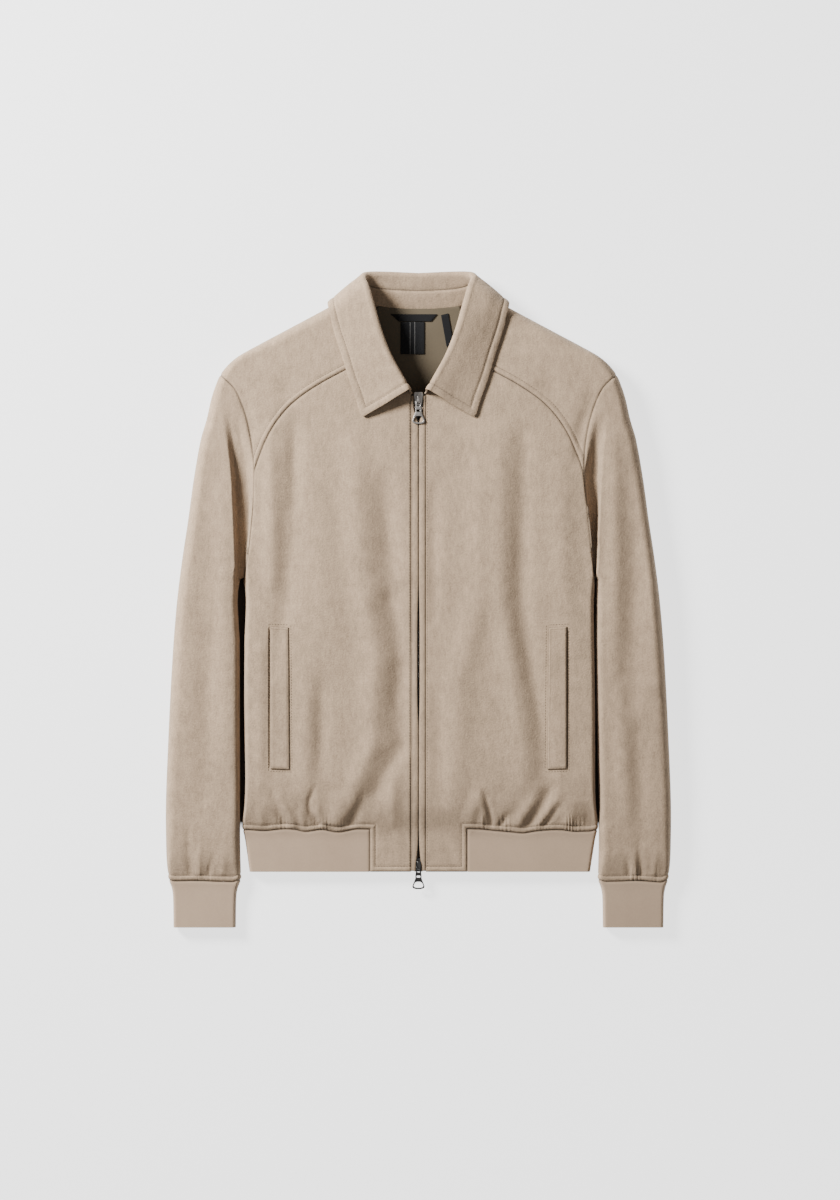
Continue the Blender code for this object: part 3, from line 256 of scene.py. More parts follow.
GATHERS = (
    # seam y; points x, y from the seam up; half width; height
    (HEM_SEAM_Y, ((-145, -267), (-154, -248), (-166, -222)), 4.0, 2.4),
    (HEM_SEAM_Y, ((-156, -268), (-165, -246), (-174, -226)), 4.6, -2.2),
    (HEM_SEAM_Y, ((-184, -266), (-186, -240)), 6.0, 1.6),
    (HEM_SEAM_Y, ((-118, -264), (-127, -251), (-129, -238), (-121, -218)), 3.0, -3.0),
    (HEM_SEAM_Y, ((-110, -266), (-118, -250), (-119, -232)), 5.0, 2.4),
    (HEM_SEAM_Y, ((-80, -264), (-72, -248), (-62, -226)), 6.5, -2.8),
    (HEM_SEAM_Y, ((-98, -264), (-94, -222)), 9.0, 2.4),
    (HEM_SEAM_Y, ((-134, -266), (-139, -246)), 3.6, 1.6),
    (HEM_SEAM_Y, ((86, -266), (84, -250), (76, -222)), 3.0, -2.2),
    (HEM_SEAM_Y, ((74, -266), (77, -250), (70, -226)), 4.0, 1.8),
    (HEM_SEAM_Y, ((96, -266), (104, -254), (116, -250)), 3.2, -2.4),
    (HEM_SEAM_Y, ((116, -268), (126, -248), (146, -214)), 6.5, 2.6),
    (HEM_SEAM_Y, ((128, -265), (142, -246), (160, -216)), 5.0, -2.7),
    (HEM_SEAM_Y, ((142, -266), (154, -246), (168, -226)), 4.4, 2.0),
    (HEM_SEAM_Y, ((148, -264), (162, -246), (172, -238)), 3.6, -2.2),
    (HEM_SEAM_Y, ((176, -264), (182, -232)), 7.0, 2.0),
    (HEM_SEAM_Y, ((198, -264), (197, -238)), 6.0, -1.6),
    (CUFF_SEAM_Y, ((-268, -322), (-272, -262)), 4.0, -1.6),
    (CUFF_SEAM_Y, ((-258, -324), (-256, -286)), 3.4, 1.7),
    (CUFF_SEAM_Y, ((-247, -324), (-240, -296)), 3.2, -1.5),
    (CUFF_SEAM_Y, ((-231, -324), (-228, -294)), 4.4, 1.4),
    (CUFF_SEAM_Y, ((262, -322), (258, -282)), 3.6, -1.8),
    (CUFF_SEAM_Y, ((254, -324), (253, -294)), 3.2, 1.7),
    (CUFF_SEAM_Y, ((247, -324), (243, -300)), 3.0, -1.4),
    (CUFF_SEAM_Y, ((276, -324), (279, -292)), 4.4, 1.4),
)
GATHER_START = 5.0
GATHER_REACH = 110.0
FOLD_END = 0.55  # share of a fold's height left at its ends
FOLD_SWELL = 0.45

TRENCHES = (
    # y; sleeve's fold and its softness, body's edge and its softness, share of the height lost
    (
        (228.0, 230.0, 12.0, 205.0, 10.0, 0.0),
        (205.0, 226.0, 10.0, 203.0, 10.0, 0.18),
        (182.0, 222.5, 8.0, 198.0, 13.0, 0.42),
        (162.0, 220.0, 5.0, 194.0, 12.0, 0.66),
        (141.0, 218.0, 4.0, 193.4, 9.0, 0.84),
        (113.0, 216.8, 3.2, 195.0, 4.6, 0.95),
        (85.0, 215.6, 3.0, 197.2, 3.4, 1.0),
        (58.0, 214.6, 3.0, 200.0, 3.0, 1.0),
        (40.0, 213.8, 3.0, 201.6, 3.0, 1.0),
        (22.0, 212.6, 2.6, 203.0, 3.0, 1.0),
        (10.0, 211.6, 2.4, 203.0, 3.0, 0.5),
        (-4.0, 211.0, 2.4, 203.0, 3.0, 0.0),
    ),
    (
        (218.0, 222.0, 10.0, 206.0, 8.0, 0.0),
        (200.0, 218.5, 9.0, 203.0, 9.0, 0.15),
        (176.0, 215.5, 8.0, 199.0, 10.0, 0.38),
        (150.0, 213.5, 6.0, 193.6, 9.0, 0.62),
        (130.0, 211.5, 5.0, 193.6, 6.0, 0.78),
        (113.0, 210.0, 4.0, 194.2, 4.5, 0.9),
        (70.0, 206.8, 3.0, 197.9, 3.0, 0.97),
        (44.0, 206.8, 2.5, 201.0, 3.0, 0.9),
        (20.0, 207.2, 2.5, 205.0, 2.0, 0.7),
        (-10.0, 208.0, 2.5, 206.0, 2.0, 0.0),
    ),
)
TRENCH_FOLD_LEAD = 0.3
TRENCH_EDGE_LEAD = 0.15
TRENCH_DEPTH = 0.93
SIDE_SHIFTS = (
    # y; how far outwards the body's side and the sleeve's inside lie from their even lines
    (
        (40.0, 0.0, 0.0),
        (22.0, -2.0, 2.6),
        (8.0, -2.6, 3.4),
        (-8.0, -2.4, 3.0),
        (-48.0, -0.8, 0.5),
        (-118.0, -0.7, -0.2),
        (-213.0, -1.8, -1.5),
        (-262.0, -1.4, -1.7),
        (-400.0, -1.4, -1.0),
    ),
    (
        (23.0, 0.0, 0.0),
        (0.0, 1.2, -1.4),
        (-48.0, 1.6, -2.2),
        (-118.0, 2.3, -1.7),
        (-190.0, 2.6, -0.6),
        (-236.0, 2.6, 0.6),
        (-400.0, 2.6, 1.2),
    ),
)
SHIFT_REACH = 22.0
SLOT_LEAN = 2.3  # how far outwards the slots beside the body lean lower down
SLOT_LEAN_Y = -150.0
SLOT_LEAN_EASE = 90.0
ARMHOLE_SHIFTS = (
    # y, how far the right armhole's seam moves outwards
    (145.0, 0.5),
    (107.0, 4.2),
    (70.0, 4.4),
    (44.0, 3.2),
    (23.0, 1.0),
    (0.0, 0.0),
)
ARMHOLE_SHIFT_SPAN = (0.0, 170.0)
ARMHOLE_SHIFT_X = 198.0
ARMHOLE_SHIFT_REACH = 16.0

COLLAR_STATIONS = (
    # neck share, roll x, y, z, middle x, y, puff, edge x, y
    (0.00, 10.0, 245.0, 43.5, 38.0, 229.0, 6.2, 66.6, 212.6),
    (0.09, 20.7, 263.7, 42.5, 47.0, 249.0, 5.2, 73.5, 235.4),
    (0.19, 33.6, 287.3, 43.0, 57.0, 272.0, 6.6, 81.5, 257.8),
    (0.29, 44.5, 314.5, 44.5, 67.0, 300.0, 8.0, 90.0, 286.2),
    (0.39, 52.5, 341.6, 43.5, 75.0, 325.0, 9.0, 98.0, 310.9),
    (0.49, 59.0, 365.2, 37.5, 80.0, 346.0, 9.5, 102.5, 329.0),
    (0.58, 63.4, 379.5, 26.0, 84.0, 354.9, 8.0, 103.0, 344.8),
    (0.68, 55.0, 383.6, 18.0, 74.0, 352.0, 3.5, 90.0, 338.0),
    (0.82, 31.0, 384.0, 14.5, 44.0, 351.0, 0.6, 58.0, 325.0),
    (1.00, 0.0, 382.8, 13.5, 0.0, 351.0, 0.4, 0.0, 321.0),
)
COLLAR_WRAP_STATION = 6
COLLAR_CLEARANCE = 0.7
WRAP_CLEARANCE = 3.4
ROLL_RADIUS = 3.6
STAND_SHARE = 0.62
TIP_RADIUS = 5.5
NECK_CENTRE = (0.0, 365.0, 20.0)
LEAF_BOW = 0.06  # how far the leaf bows above a straight line, as a share of its fall
LEAF_DRAW = 0.12
COLLAR_TICKS = (0.8, 1.8, 3.2, 5.0, 6.6, 7.6, 8.6, 9.6, 10.8, 12.6)
STAND_DIP = 0.5
LEAF_ROLL_DIP = 0.4
LEAF_STITCH_DIP = 0.75
COLLAR_DIP_WIDTH = 1.2
LEAF_PUFF = 0.5
LEAF_PUFF_POWER = 0.8

NECK_LABEL_CORNERS = ((-23.0, 327.5), (15.0, 327.5), (-33.0, 336.0), (22.0, 336.0))
HANGER_TAB_CORNERS = ((-21.0, 289.0), (7.0, 289.0), (-21.0, 326.8), (7.0, 326.8))
SIDE_TAG_CORNERS = ((33.0, 298.0), (41.5, 300.0), (26.5, 335.0), (35.0, 337.0))

STRIP_OPEN = 0.7
STRIP_ROLL = 0.35  # how far each strip's rolled edge reaches past its solid
STRIP_SLIT = (
    # y, half width of the gap between the strips
    (246.0, 6.2),
    (224.0, 6.2),
    (206.0, 0.7),
    (20.0, 0.7),
    (-40.0, 1.8),
    (-110.0, 1.8),
    (-150.0, 0.7),
    (-272.0, 0.7),
    (-290.0, 1.2),
    (-304.0, 2.4),
    (-312.0, 3.6),
    (-330.0, 3.6),
)
STRIP_BOTTOM_Y = -318.8
STRIP_TOP_Y = 238.6
STRIP_SHARES = (0.015, 0.09, 0.2, 0.34, 0.5, 0.66, 0.8, 0.91, 0.985)
STRIP_PUFF = 0.75
STRIP_PUFF_POWER = 0.6
STRIP_DIP = 0.55
STRIP_STITCH_INSET = 1.6
STRIP_THREAD_INSET = 1.9
STRIP_INNER_CLEAR = 0.4
TAPE_OUTER_X = 13.5
TAPE_CLOSED = 0.4
TAPE_SPREAD = 0.62
TAPE_DROPS = ((300.0, 0.8), (-282.0, 0.8), (-298.0, 2.4), (-330.0, 2.4))  # y, gap under the cloth

# ---------------------------------------------------------------- sizes of the finish

STITCH_INSET = 6.3  # from a seam to the row of stitches beside it
COLLAR_STITCH_INSET = 8.6
STITCH_PITCH = 3.3
STITCH_LENGTH = 2.5
STITCH_RADIUS = 0.32
STITCH_PROUD = 0.35  # share of its radius above the cloth
STITCH_ROW_STEP = 1.5
NEAR_EDGE = (0.0, 0.7, 1.6, 2.8, 4.2, 5.4, 6.3, 7.2, 8.6, 10.6)
CLOTH_STEP = 3.4
FINE_STEP = 1.4
MOUTH_COLUMNS = (0.183, 0.232, 0.0035)
EDGE_ROLL = 0.8
EDGE_ROLL_WIDTH = 1.3
STITCH_DIP = 0.55
STITCH_DIP_WIDTH = 1.1
BAND_PUFF = 0.45
CHUNK = 4000  # plan points measured at once
ON_EDGE = 1e-4

# ---------------------------------------------------------------- plan curves


def spline(rows, step=3.0):
    """Points about `step` apart on a smooth curve through the rows, with every row on it."""
    knots = np.array(rows, float)
    padded = np.vstack([2 * knots[0] - knots[1], knots, 2 * knots[-1] - knots[-2]])
    points = [knots[0]]
    for k in range(1, len(padded) - 2):
        a, b, c, d = padded[k - 1 : k + 3]
        span = np.linalg.norm(c - b)
        leave = (c - a) * span / max(span + np.linalg.norm(b - a), 1e-9)
        arrive = (d - b) * span / max(np.linalg.norm(d - c) + span, 1e-9)
        for t in np.linspace(0, 1, max(2, int(span / step)) + 1)[1:]:
            points.append(
                (2 * t**3 - 3 * t**2 + 1) * b
                + (t**3 - 2 * t**2 + t) * leave
                + (3 * t**2 - 2 * t**3) * c
                + (t**3 - t**2) * arrive
            )
    return np.array(points)


def lengths(line):
    return np.concatenate([[0.0], np.cumsum(np.linalg.norm(np.diff(line, axis=0), axis=1))])


def at_distances(line, distances):
    """Points on a line at these distances from its start."""
    run = lengths(line)
    return np.stack([np.interp(distances, run, line[:, k]) for k in range(line.shape[1])], axis=1)


def at_shares(line, shares):
    return at_distances(line, np.asarray(shares) * lengths(line)[-1])


def between(line, start, end):
    """The stretch of a line between two of its own points."""
    first = np.argmin(np.linalg.norm(line - start, axis=1))
    last = np.argmin(np.linalg.norm(line - end, axis=1))
    return line[first : last + 1] if first <= last else line[last : first + 1][::-1]


def ticks(total, step=CLOTH_STEP, start=NEAR_EDGE, end=NEAR_EDGE):
    """Distances along a piece: close together beside its two edges, even between them."""
    low, high = start[-1], total - end[-1]
    middle = np.linspace(low, high, max(2, round((high - low) / step) + 1))
    found = np.concatenate([start[:-1], middle, total - np.array(end[:-1])[::-1]])
    found[0] += HALF_GAP
    found[-1] -= HALF_GAP
    return found


def points_at_y(line, ys):
    """Points of a line that runs up or down, at these heights in plan."""
    order = np.argsort(line[:, 1])
    return np.column_stack([np.interp(ys, line[order, 1], line[order, 0]), ys])


def mirrored(points, sign):
    return np.asarray(points) * np.array([sign, 1.0])


OUTER = spline(OUTER_LINE)
INNER = spline(SLEEVE_INNER_LINE)
BODY_SIDE = spline(BODY_SIDE_LINE)


class Outline:
    """The lying shape's edges, for the distance of a plan point from them."""

    def __init__(self, lines):
        starts, ends, start_normals, end_normals = [], [], [], []
        for line in lines:
            run = np.diff(line, axis=0)
            inward = np.stack([run[:, 1], -run[:, 0]], axis=1)
            inward /= np.linalg.norm(inward, axis=1)[:, None]
            corner = np.vstack([inward[:1], inward[1:] + inward[:-1], inward[-1:]])
            corner /= np.linalg.norm(corner, axis=1)[:, None]
            starts.append(line[:-1])
            ends.append(line[1:])
            start_normals.append(corner[:-1])
            end_normals.append(corner[1:])
        self.starts = np.vstack(starts)
        self.runs = np.vstack(ends) - self.starts
        self.start_normals = np.vstack(start_normals)
        self.end_normals = np.vstack(end_normals)

    def measure(self, xy):
        """Distance from the nearest edge, and the unit direction away from it, inwards."""
        parts = [self.measure_part(part) for part in np.array_split(xy, len(xy) // CHUNK + 1)]
        return np.concatenate([part[0] for part in parts]), np.vstack([part[1] for part in parts])

    def measure_part(self, xy):
        half = np.stack([np.abs(xy[:, 0]), xy[:, 1]], axis=1)
        to = half[:, None, :] - self.starts[None]
        share = np.clip((to * self.runs).sum(2) / (self.runs**2).sum(1), 0, 1)
        off = to - share[:, :, None] * self.runs
        nearest = np.argmin((off**2).sum(2), axis=1)
        rows = np.arange(len(half))
        off = off[rows, nearest]
        share = share[rows, nearest][:, None]
        distance = np.linalg.norm(off, axis=1)
        edge = (1 - share) * self.start_normals[nearest] + share * self.end_normals[nearest]
        edge /= np.maximum(np.linalg.norm(edge, axis=1), 1e-9)[:, None]
        near = distance < ON_EDGE
        away = np.where(near[:, None], edge, off / np.maximum(distance, 1e-9)[:, None])
        away[:, 0] *= np.where(xy[:, 0] < 0, -1.0, 1.0)
        return np.where(near, 0.0, distance), away


OUTLINE = Outline([OUTER, np.vstack([INNER, BODY_SIDE[1:]])])

# ---------------------------------------------------------------- heights of the two layers


def smoothstep(value):
    value = np.clip(value, 0, 1)
    return value * value * (3 - 2 * value)


def height_column(rows, column, y):
    """A column of a height table at y, eased over its corners."""
    table = sorted(rows)
    ys = [row[0] for row in table]
    values = [row[column] for row in table]
    return np.mean([np.interp(y + shift, ys, values) for shift in HEIGHT_EASE], axis=0)


def zone(column, x, y):
    """A height column, blended from the body's table to the sleeve's above the armpit."""
    width = BLEND_WIDTH * smoothstep((y - ARMPIT_Y) / BLEND_RISE) + 0.01
    share = smoothstep((np.abs(x) - CENTRE_GAP_X) / width + 0.5)
    body = height_column(BODY_HEIGHTS, column, y)
    return body + (height_column(SLEEVE_HEIGHTS, column, y) - body) * share


def near_line(x, y, ax, ay, bx, by):
    """Distance from a straight stretch, and the share of the way along it."""
    run = (bx - ax) ** 2 + (by - ay) ** 2
    share = np.clip(((x - ax) * (bx - ax) + (y - ay) * (by - ay)) / run, 0, 1)
    return np.hypot(x - ax - share * (bx - ax), y - ay - share * (by - ay)), share


def near_path(x, y, path):
    """Distance from a bent path, and the share of its length at the nearest place."""
    run = lengths(np.array(path, float))
    best = np.full_like(x, 1e9)
    along = np.zeros_like(x)
    for k in range(len(path) - 1):
        off, share = near_line(x, y, *path[k], *path[k + 1])
        closer = off < best
        best = np.where(closer, off, best)
        along = np.where(closer, run[k] + share * (run[k + 1] - run[k]), along)
    return best, along / run[-1]


def fold_height(x, y):
    """Height of the folds and gathers above the plain layer."""
    total = np.zeros_like(x)
    for path, width, height in FOLDS:
        off, share = near_path(x, y, path)
        swell = FOLD_END + FOLD_SWELL * np.sin(np.pi * share)
        total += height * np.exp(-((off / width) ** 2)) * swell
    for seam_y, path, width, height in GATHERS:
        rise = smoothstep((y - seam_y) / (2 * GATHER_START)) * (np.abs(y - seam_y) < GATHER_REACH)
        off, share = near_path(x, y, path)
        total += rise * height * np.exp(-((off / width) ** 2)) * np.sqrt(np.clip(1 - share, 0, 1))
    return total


def columns_at(table, y):
    """The columns of a table of rows that start with y, at these heights in plan."""
    rows = np.array(sorted(table))
    return [np.interp(y, rows[:, 0], rows[:, k]) for k in range(1, rows.shape[1])]


def trench_share(x, y):
    """How much of the height is lost between the sleeve's inner fold and the body's edge."""
    half = np.abs(x)
    total = np.zeros_like(x)
    for (_, sign), table in zip(SIDES, TRENCHES):
        fold, fold_ease, edge, edge_ease, depth = columns_at(table, y)
        inside = smoothstep((fold - half) / fold_ease + TRENCH_FOLD_LEAD)
        inside = inside * smoothstep((half - edge) / edge_ease + TRENCH_EDGE_LEAD)
        total += depth * inside * (sign * x > 0)
    return total


def side_shift(x, y):
    """How far a point moves outwards, as the two sides don't lie quite alike."""
    half = np.abs(x)
    middle = CENTRE_GAP_X + SLOT_LEAN * smoothstep((SLOT_LEAN_Y - y) / SLOT_LEAN_EASE)
    total = np.zeros_like(x)
    for (_, sign), table in zip(SIDES, SIDE_SHIFTS):
        body, sleeve = columns_at(table, y)
        near = np.exp(-(((half - middle) / SHIFT_REACH) ** 2))
        total += sign * (np.where(half < middle, body, sleeve) * near) * (sign * x > 0)
    low, high = ARMHOLE_SHIFT_SPAN
    armhole = columns_at(ARMHOLE_SHIFTS, y)[0] * (y > low) * (y < high)
    return total + armhole * np.exp(-(((x - ARMHOLE_SHIFT_X) / ARMHOLE_SHIFT_REACH) ** 2))


def top_rise(x, y):
    rise = zone(PLATEAU, x, y) - zone(SIDE, x, y)
    return (rise + fold_height(x, y)) * (1 - TRENCH_DEPTH * trench_share(x, y))


def bottom_rise(x, y):
    lift = COLLAR_LIFT * smoothstep((y - LIFT_START_Y) / (LIFT_END_Y - LIFT_START_Y))
    lift *= smoothstep((LIFT_HALF_WIDTH - np.abs(x)) / LIFT_SIDE_EASE)
    return lift - zone(SIDE, x, y)


def layer(xy, which):
    """Outer points and outward normals of the cloth over plan points, on the layer asked for."""
    xy = np.asarray(xy, float)
    flat = xy.reshape(-1, 2)
    x, y = flat.T
    distance, away = OUTLINE.measure(flat)
    rise_of = top_rise if which == "top" else bottom_rise
    turn = zone(TURN, x, y)
    if which == "top":
        crisp = CRISP_SHARE * np.exp(-(((np.abs(x) - CENTRE_GAP_X) / CRISP_REACH) ** 2))
        above = smoothstep((y - CRISP_LOW_Y) / CRISP_EASE)
        turn = turn * TOP_TURN_SHARE * (1 - crisp * above)
    else:
        turn = turn * BACK_TURN_SHARE
    cosine = np.clip(1 - distance / turn, 0, 1)
    sine = np.sqrt(1 - cosine**2)
    rise = rise_of(x, y)
    side = zone(SIDE, x, y)
    h = SLOPE_STEP
    slope_x = (rise_of(x + h, y) - rise_of(x - h, y)) / (2 * h)
    slope_y = (rise_of(x, y + h) - rise_of(x, y - h)) / (2 * h)
    side_slope = (zone(SIDE, x, y + h) - zone(SIDE, x, y - h)) / (2 * h)
    normal = np.stack(
        [
            -(rise / turn) * cosine * away[:, 0] - sine * sine * slope_x,
            -(rise / turn) * cosine * away[:, 1] - sine * (sine * slope_y + side_slope),
            sine,
        ],
        axis=1,
    )
    if which == "bottom":
        normal = -normal
    normal /= np.linalg.norm(normal, axis=1)[:, None]
    points = np.column_stack([x + side_shift(x, y), y, side + rise * sine])
    return points.reshape(*xy.shape[:-1], 3), normal.reshape(*xy.shape[:-1], 3)


def coons(bottom, top, left, right):
    """A grid of plan points between four edges: rows run from bottom to top."""
    bottom, top, left, right = (np.asarray(edge, float) for edge in (bottom, top, left, right))
    across_low = lengths(bottom) / lengths(bottom)[-1]
    across_high = lengths(top) / lengths(top)[-1]
    up_left = lengths(left) / lengths(left)[-1]
    up_right = lengths(right) / lengths(right)[-1]
    middle = (up_left + up_right)[:, None] / 2
    u = across_low[None] * (1 - middle) + across_high[None] * middle
    v = up_left[:, None] * (1 - u) + up_right[:, None] * u
    u = (across_low[None] * (1 - v) + across_high[None] * v)[..., None]
    v = v[..., None]
    return (
        (1 - v) * bottom[None]
        + v * top[None]
        + (1 - u) * left[:, None]
        + u * right[:, None]
        - (1 - u) * (1 - v) * bottom[0]
        - u * (1 - v) * bottom[-1]
        - (1 - u) * v * top[0]
        - u * v * top[-1]
    )


# ---------------------------------------------------------------- seams, bands and gathers

YOKE_LINE = spline(YOKE_SEAM)
ARMHOLE_TOP_LINE = spline(ARMHOLE_TOP)
ARMHOLE_LOW_LINE = spline(ARMHOLE_LOW[::-1])
ARMHOLE_BACK_LINE = spline(ARMHOLE_BACK)
YOKE_NECK_LINE = spline(YOKE_NECK)
BACK_NECK_LINE = spline(BACK_NECK)
SIDE_SEAM = between(BODY_SIDE, (CENTRE_GAP_X, ARMPIT_Y), (HEM_SEAM_X, HEM_SEAM_Y))[::-1]
SHOULDER_SEAM = between(OUTER, SHOULDER_TIP, NECK_POINT)
SLEEVE_OUTSIDE = between(OUTER, (CUFF_OUTER_X, CUFF_SEAM_Y), SHOULDER_TIP)
SLEEVE_INSIDE = between(INNER, (CUFF_INNER_X, CUFF_SEAM_Y), (CENTRE_GAP_X, ARMPIT_Y))
FAR = 99.0

HEM_WAVE = (
    # x, y of the hem seam above its mean
    (-205.0, 0.2),
    (-181.0, -1.5),
    (-157.5, 1.2),
    (-143.0, 0.2),
    (-134.0, -2.7),
    (-122.0, -0.9),
    (-114.0, 0.8),
    (-96.0, -3.3),
    (-87.0, -2.1),
    (-75.0, 0.8),
    (-57.0, 0.5),
    (0.0, 0.0),
    (57.0, 1.2),
    (75.0, 0.6),
    (90.0, -1.2),
    (108.0, -2.6),
    (123.0, -4.4),
    (137.0, -1.8),
    (150.0, -0.4),
    (167.0, 0.0),
    (182.0, -2.2),
    (205.0, -1.6),
)
CUFF_WAVE = (
    # x, y of the cuff seam above its mean
    (-294.0, -1.6),
    (-262.0, -0.6),
    (-240.0, -1.6),
    (-212.0, -2.4),
    (212.0, -2.0),
    (240.0, -1.4),
    (256.0, -0.4),
    (275.0, -2.0),
    (294.0, -3.4),
)
WAVE_REACH = 22.0
WAVE_EASE = (-4, -2, 0, 2, 4)
WAVE_FADE = 8.0
HEM_WAVE_END = 207.0
CUFF_WAVE_ENDS = (212.0, 293.0)
RIPPLES = (
    # x, half width, seam y, height
    (-156.0, 10.0, HEM_SEAM_Y, 0.45),
    (-115.0, 11.0, HEM_SEAM_Y, 0.55),
    (-92.0, 6.0, HEM_SEAM_Y, 0.4),
    (76.0, 6.0, HEM_SEAM_Y, 0.4),
    (101.0, 8.0, HEM_SEAM_Y, 0.5),
    (145.0, 9.0, HEM_SEAM_Y, 0.4),
    (182.0, 11.0, HEM_SEAM_Y, 0.45),
    (-264.0, 7.0, CUFF_SEAM_Y, 0.75),
    (-242.0, 6.0, CUFF_SEAM_Y, 0.6),
    (256.0, 8.0, CUFF_SEAM_Y, 0.85),
    (281.0, 6.0, CUFF_SEAM_Y, 0.3),
)
RIPPLE_PERIOD = 3.9
RIPPLE_SLIP = 0.9  # how far the ripples stray from an even spacing
RIPPLE_SLIP_LENGTH = 4.7
RIPPLE_RISE = 3
RIPPLE_START = 0.6
RIPPLE_END = 1.9
RIPPLE_FALL = 0.9
BAND_WIDTH = 6.5
POCKET_SLIT = np.array([(174.6, -36.0), (174.6, -196.0)])
SLIT_DEPTHS = ((-196.0, 0.8), (-140.0, 1.3), (-110.0, 2.2), (-36.0, 2.2))  # y, depth
SLIT_WIDTH = 0.95


def line_distance(line, xy):
    """Distance of plan points from a line."""
    starts, runs = line[:-1], np.diff(line, axis=0)
    found = []
    for part in np.array_split(xy, len(xy) // CHUNK + 1):
        to = part[:, None] - starts[None]
        share = np.clip((to * runs).sum(2) / (runs**2).sum(1), 0, 1)
        found.append(np.linalg.norm(to - share[..., None] * runs, axis=2).min(axis=1))
    return np.concatenate(found)


def waved(xy):
    """Plan points with the soft waves of the hem and cuff seams."""
    moved = np.array(xy, float)
    x, y = moved[..., 0], moved[..., 1]
    half = np.abs(x)
    on_hem = smoothstep((HEM_WAVE_END - half) / WAVE_FADE)
    on_cuff = smoothstep((half - CUFF_WAVE_ENDS[0]) / WAVE_FADE)
    on_cuff = on_cuff * smoothstep((CUFF_WAVE_ENDS[1] - half) / WAVE_FADE)
    for wave, seam_y, inside in ((HEM_WAVE, HEM_SEAM_Y, on_hem), (CUFF_WAVE, CUFF_SEAM_Y, on_cuff)):
        near = np.exp(-(((y - seam_y) / WAVE_REACH) ** 2)) * inside
        ease = np.mean([np.interp(x + shift, *np.array(wave).T) for shift in WAVE_EASE], axis=0)
        moved[..., 1] = moved[..., 1] + ease * near
    return moved


def ripple_height(x, y):
    """Fine gathers across the band beside a seam."""
    total = np.zeros_like(x)
    uneven = x + RIPPLE_SLIP * np.sin(x / RIPPLE_SLIP_LENGTH)
    for centre, half, seam_y, height in RIPPLES:
        near = np.exp(-(((x - centre) / half) ** 4))
        above = (y - seam_y) / BAND_WIDTH
        along = smoothstep(above * RIPPLE_RISE + RIPPLE_START)
        along = along * smoothstep(1 + (RIPPLE_END - above) * RIPPLE_FALL)
        total += height * near * along * np.sin(2 * np.pi * uneven / RIPPLE_PERIOD)
    return total


class Finish:
    """How a panel's face leaves its plain layer: rolled edges, stitched bands and gathers."""

    def __init__(self, seams, bands=(), ripples=False, slit=None):
        self.slit = slit
        self.seams = seams
        self.bands = bands
        self.ripples = ripples

    def measure(self, xy):
        flat = np.column_stack([np.abs(xy[:, 0]), xy[:, 1]])
        seam = np.full(len(flat), FAR)
        for distance in self.seams:
            seam = np.minimum(seam, distance(flat))
        relief = -EDGE_ROLL * np.exp(-((seam / EDGE_ROLL_WIDTH) ** 2))
        stitch = np.full(len(flat), FAR)
        for distance, inset in self.bands:
            away = distance(flat)
            inside = np.clip(away / inset, 0, 1)
            relief += BAND_PUFF * np.sin(np.pi * inside) * (away < inset)
            relief -= STITCH_DIP * np.exp(-(((away - inset) / STITCH_DIP_WIDTH) ** 2))
            stitch = np.minimum(stitch, np.abs(away - inset))
        if self.ripples:
            relief += ripple_height(xy[:, 0], xy[:, 1])
        if self.slit is not None:
            away = line_distance(self.slit, flat)
            depth = columns_at(SLIT_DEPTHS, xy[:, 1])[0]
            relief -= depth * np.exp(-((away / SLIT_WIDTH) ** 2))
            # the slit also feeds the seam distance, so the material paints shade in the pocket's
            # mouth
            seam = np.minimum(seam, away)
        return relief, seam, stitch


def along_line(line):
    return lambda xy: line_distance(line, xy)


def hem_band(xy):
    """Distance inwards from the front's lower edge: hem seam, tab's side, tab's bottom."""
    step = np.maximum(xy[:, 1] - HEM_SEAM_Y, TAB_SIDE_X - xy[:, 0])
    return np.minimum(step, xy[:, 1] - HEM_BOTTOM_Y)


def strip_edge(xy):
    return np.where(xy[:, 1] < ZIP_TOP_Y + 1, np.abs(xy[:, 0] - EDGE_STRIP_X), FAR)


def cuff_edge(xy):
    return np.abs(xy[:, 1] - CUFF_SEAM_Y)


def hem_edge(xy):
    return np.abs(xy[:, 1] - HEM_SEAM_Y)


def tab_edge(xy):
    return np.abs(xy[:, 0] - TAB_SIDE_X)


FRONT_FINISH = Finish(
    [hem_band, strip_edge, along_line(YOKE_LINE), along_line(ARMHOLE_LOW_LINE)],
    [(hem_band, BAND_WIDTH)],
    ripples=True,
    slit=POCKET_SLIT,
)
YOKE_FINISH = Finish(
    [along_line(YOKE_LINE), along_line(ARMHOLE_TOP_LINE), along_line(YOKE_NECK_LINE)],
    [(along_line(YOKE_LINE), STITCH_INSET)],
)
SLEEVE_FINISH = Finish(
    [cuff_edge, along_line(ARMHOLE_TOP_LINE), along_line(ARMHOLE_LOW_LINE)],
    [(cuff_edge, BAND_WIDTH)],
    ripples=True,
)
UNDER_FINISH = Finish([cuff_edge, along_line(ARMHOLE_BACK_LINE)], [(cuff_edge, BAND_WIDTH)])
BACK_FINISH = Finish([hem_edge, along_line(ARMHOLE_BACK_LINE), along_line(BACK_NECK_LINE)])
HEM_FINISH = Finish([hem_edge, tab_edge])
CUFF_FINISH = Finish([cuff_edge])


def dressed(plan, which, finish):
    """Points, normals, seam and stitch distances of a panel over its plan points."""
    shape = plan.shape[:-1]
    points, normals = layer(waved(plan), which)
    relief, seam, stitch = finish.measure(plan.reshape(-1, 2))
    points = points + relief.reshape(*shape, 1) * normals
    return points, normals, seam.reshape(shape), stitch.reshape(shape)


# ---------------------------------------------------------------- materials

WALE_PITCH = 1.25
COURSE_PITCH = 0.9
TAB_LINES = (11.2, 16.6)  # how far across the hanging tab
TAB_LINE_HALF = 0.5


def feed(tree, socket, value):
    """Links another node's output to a socket, or sets the socket's own value."""
    if hasattr(value, "is_output"):
        tree.links.new(value, socket)
    else:
        socket.default_value = value


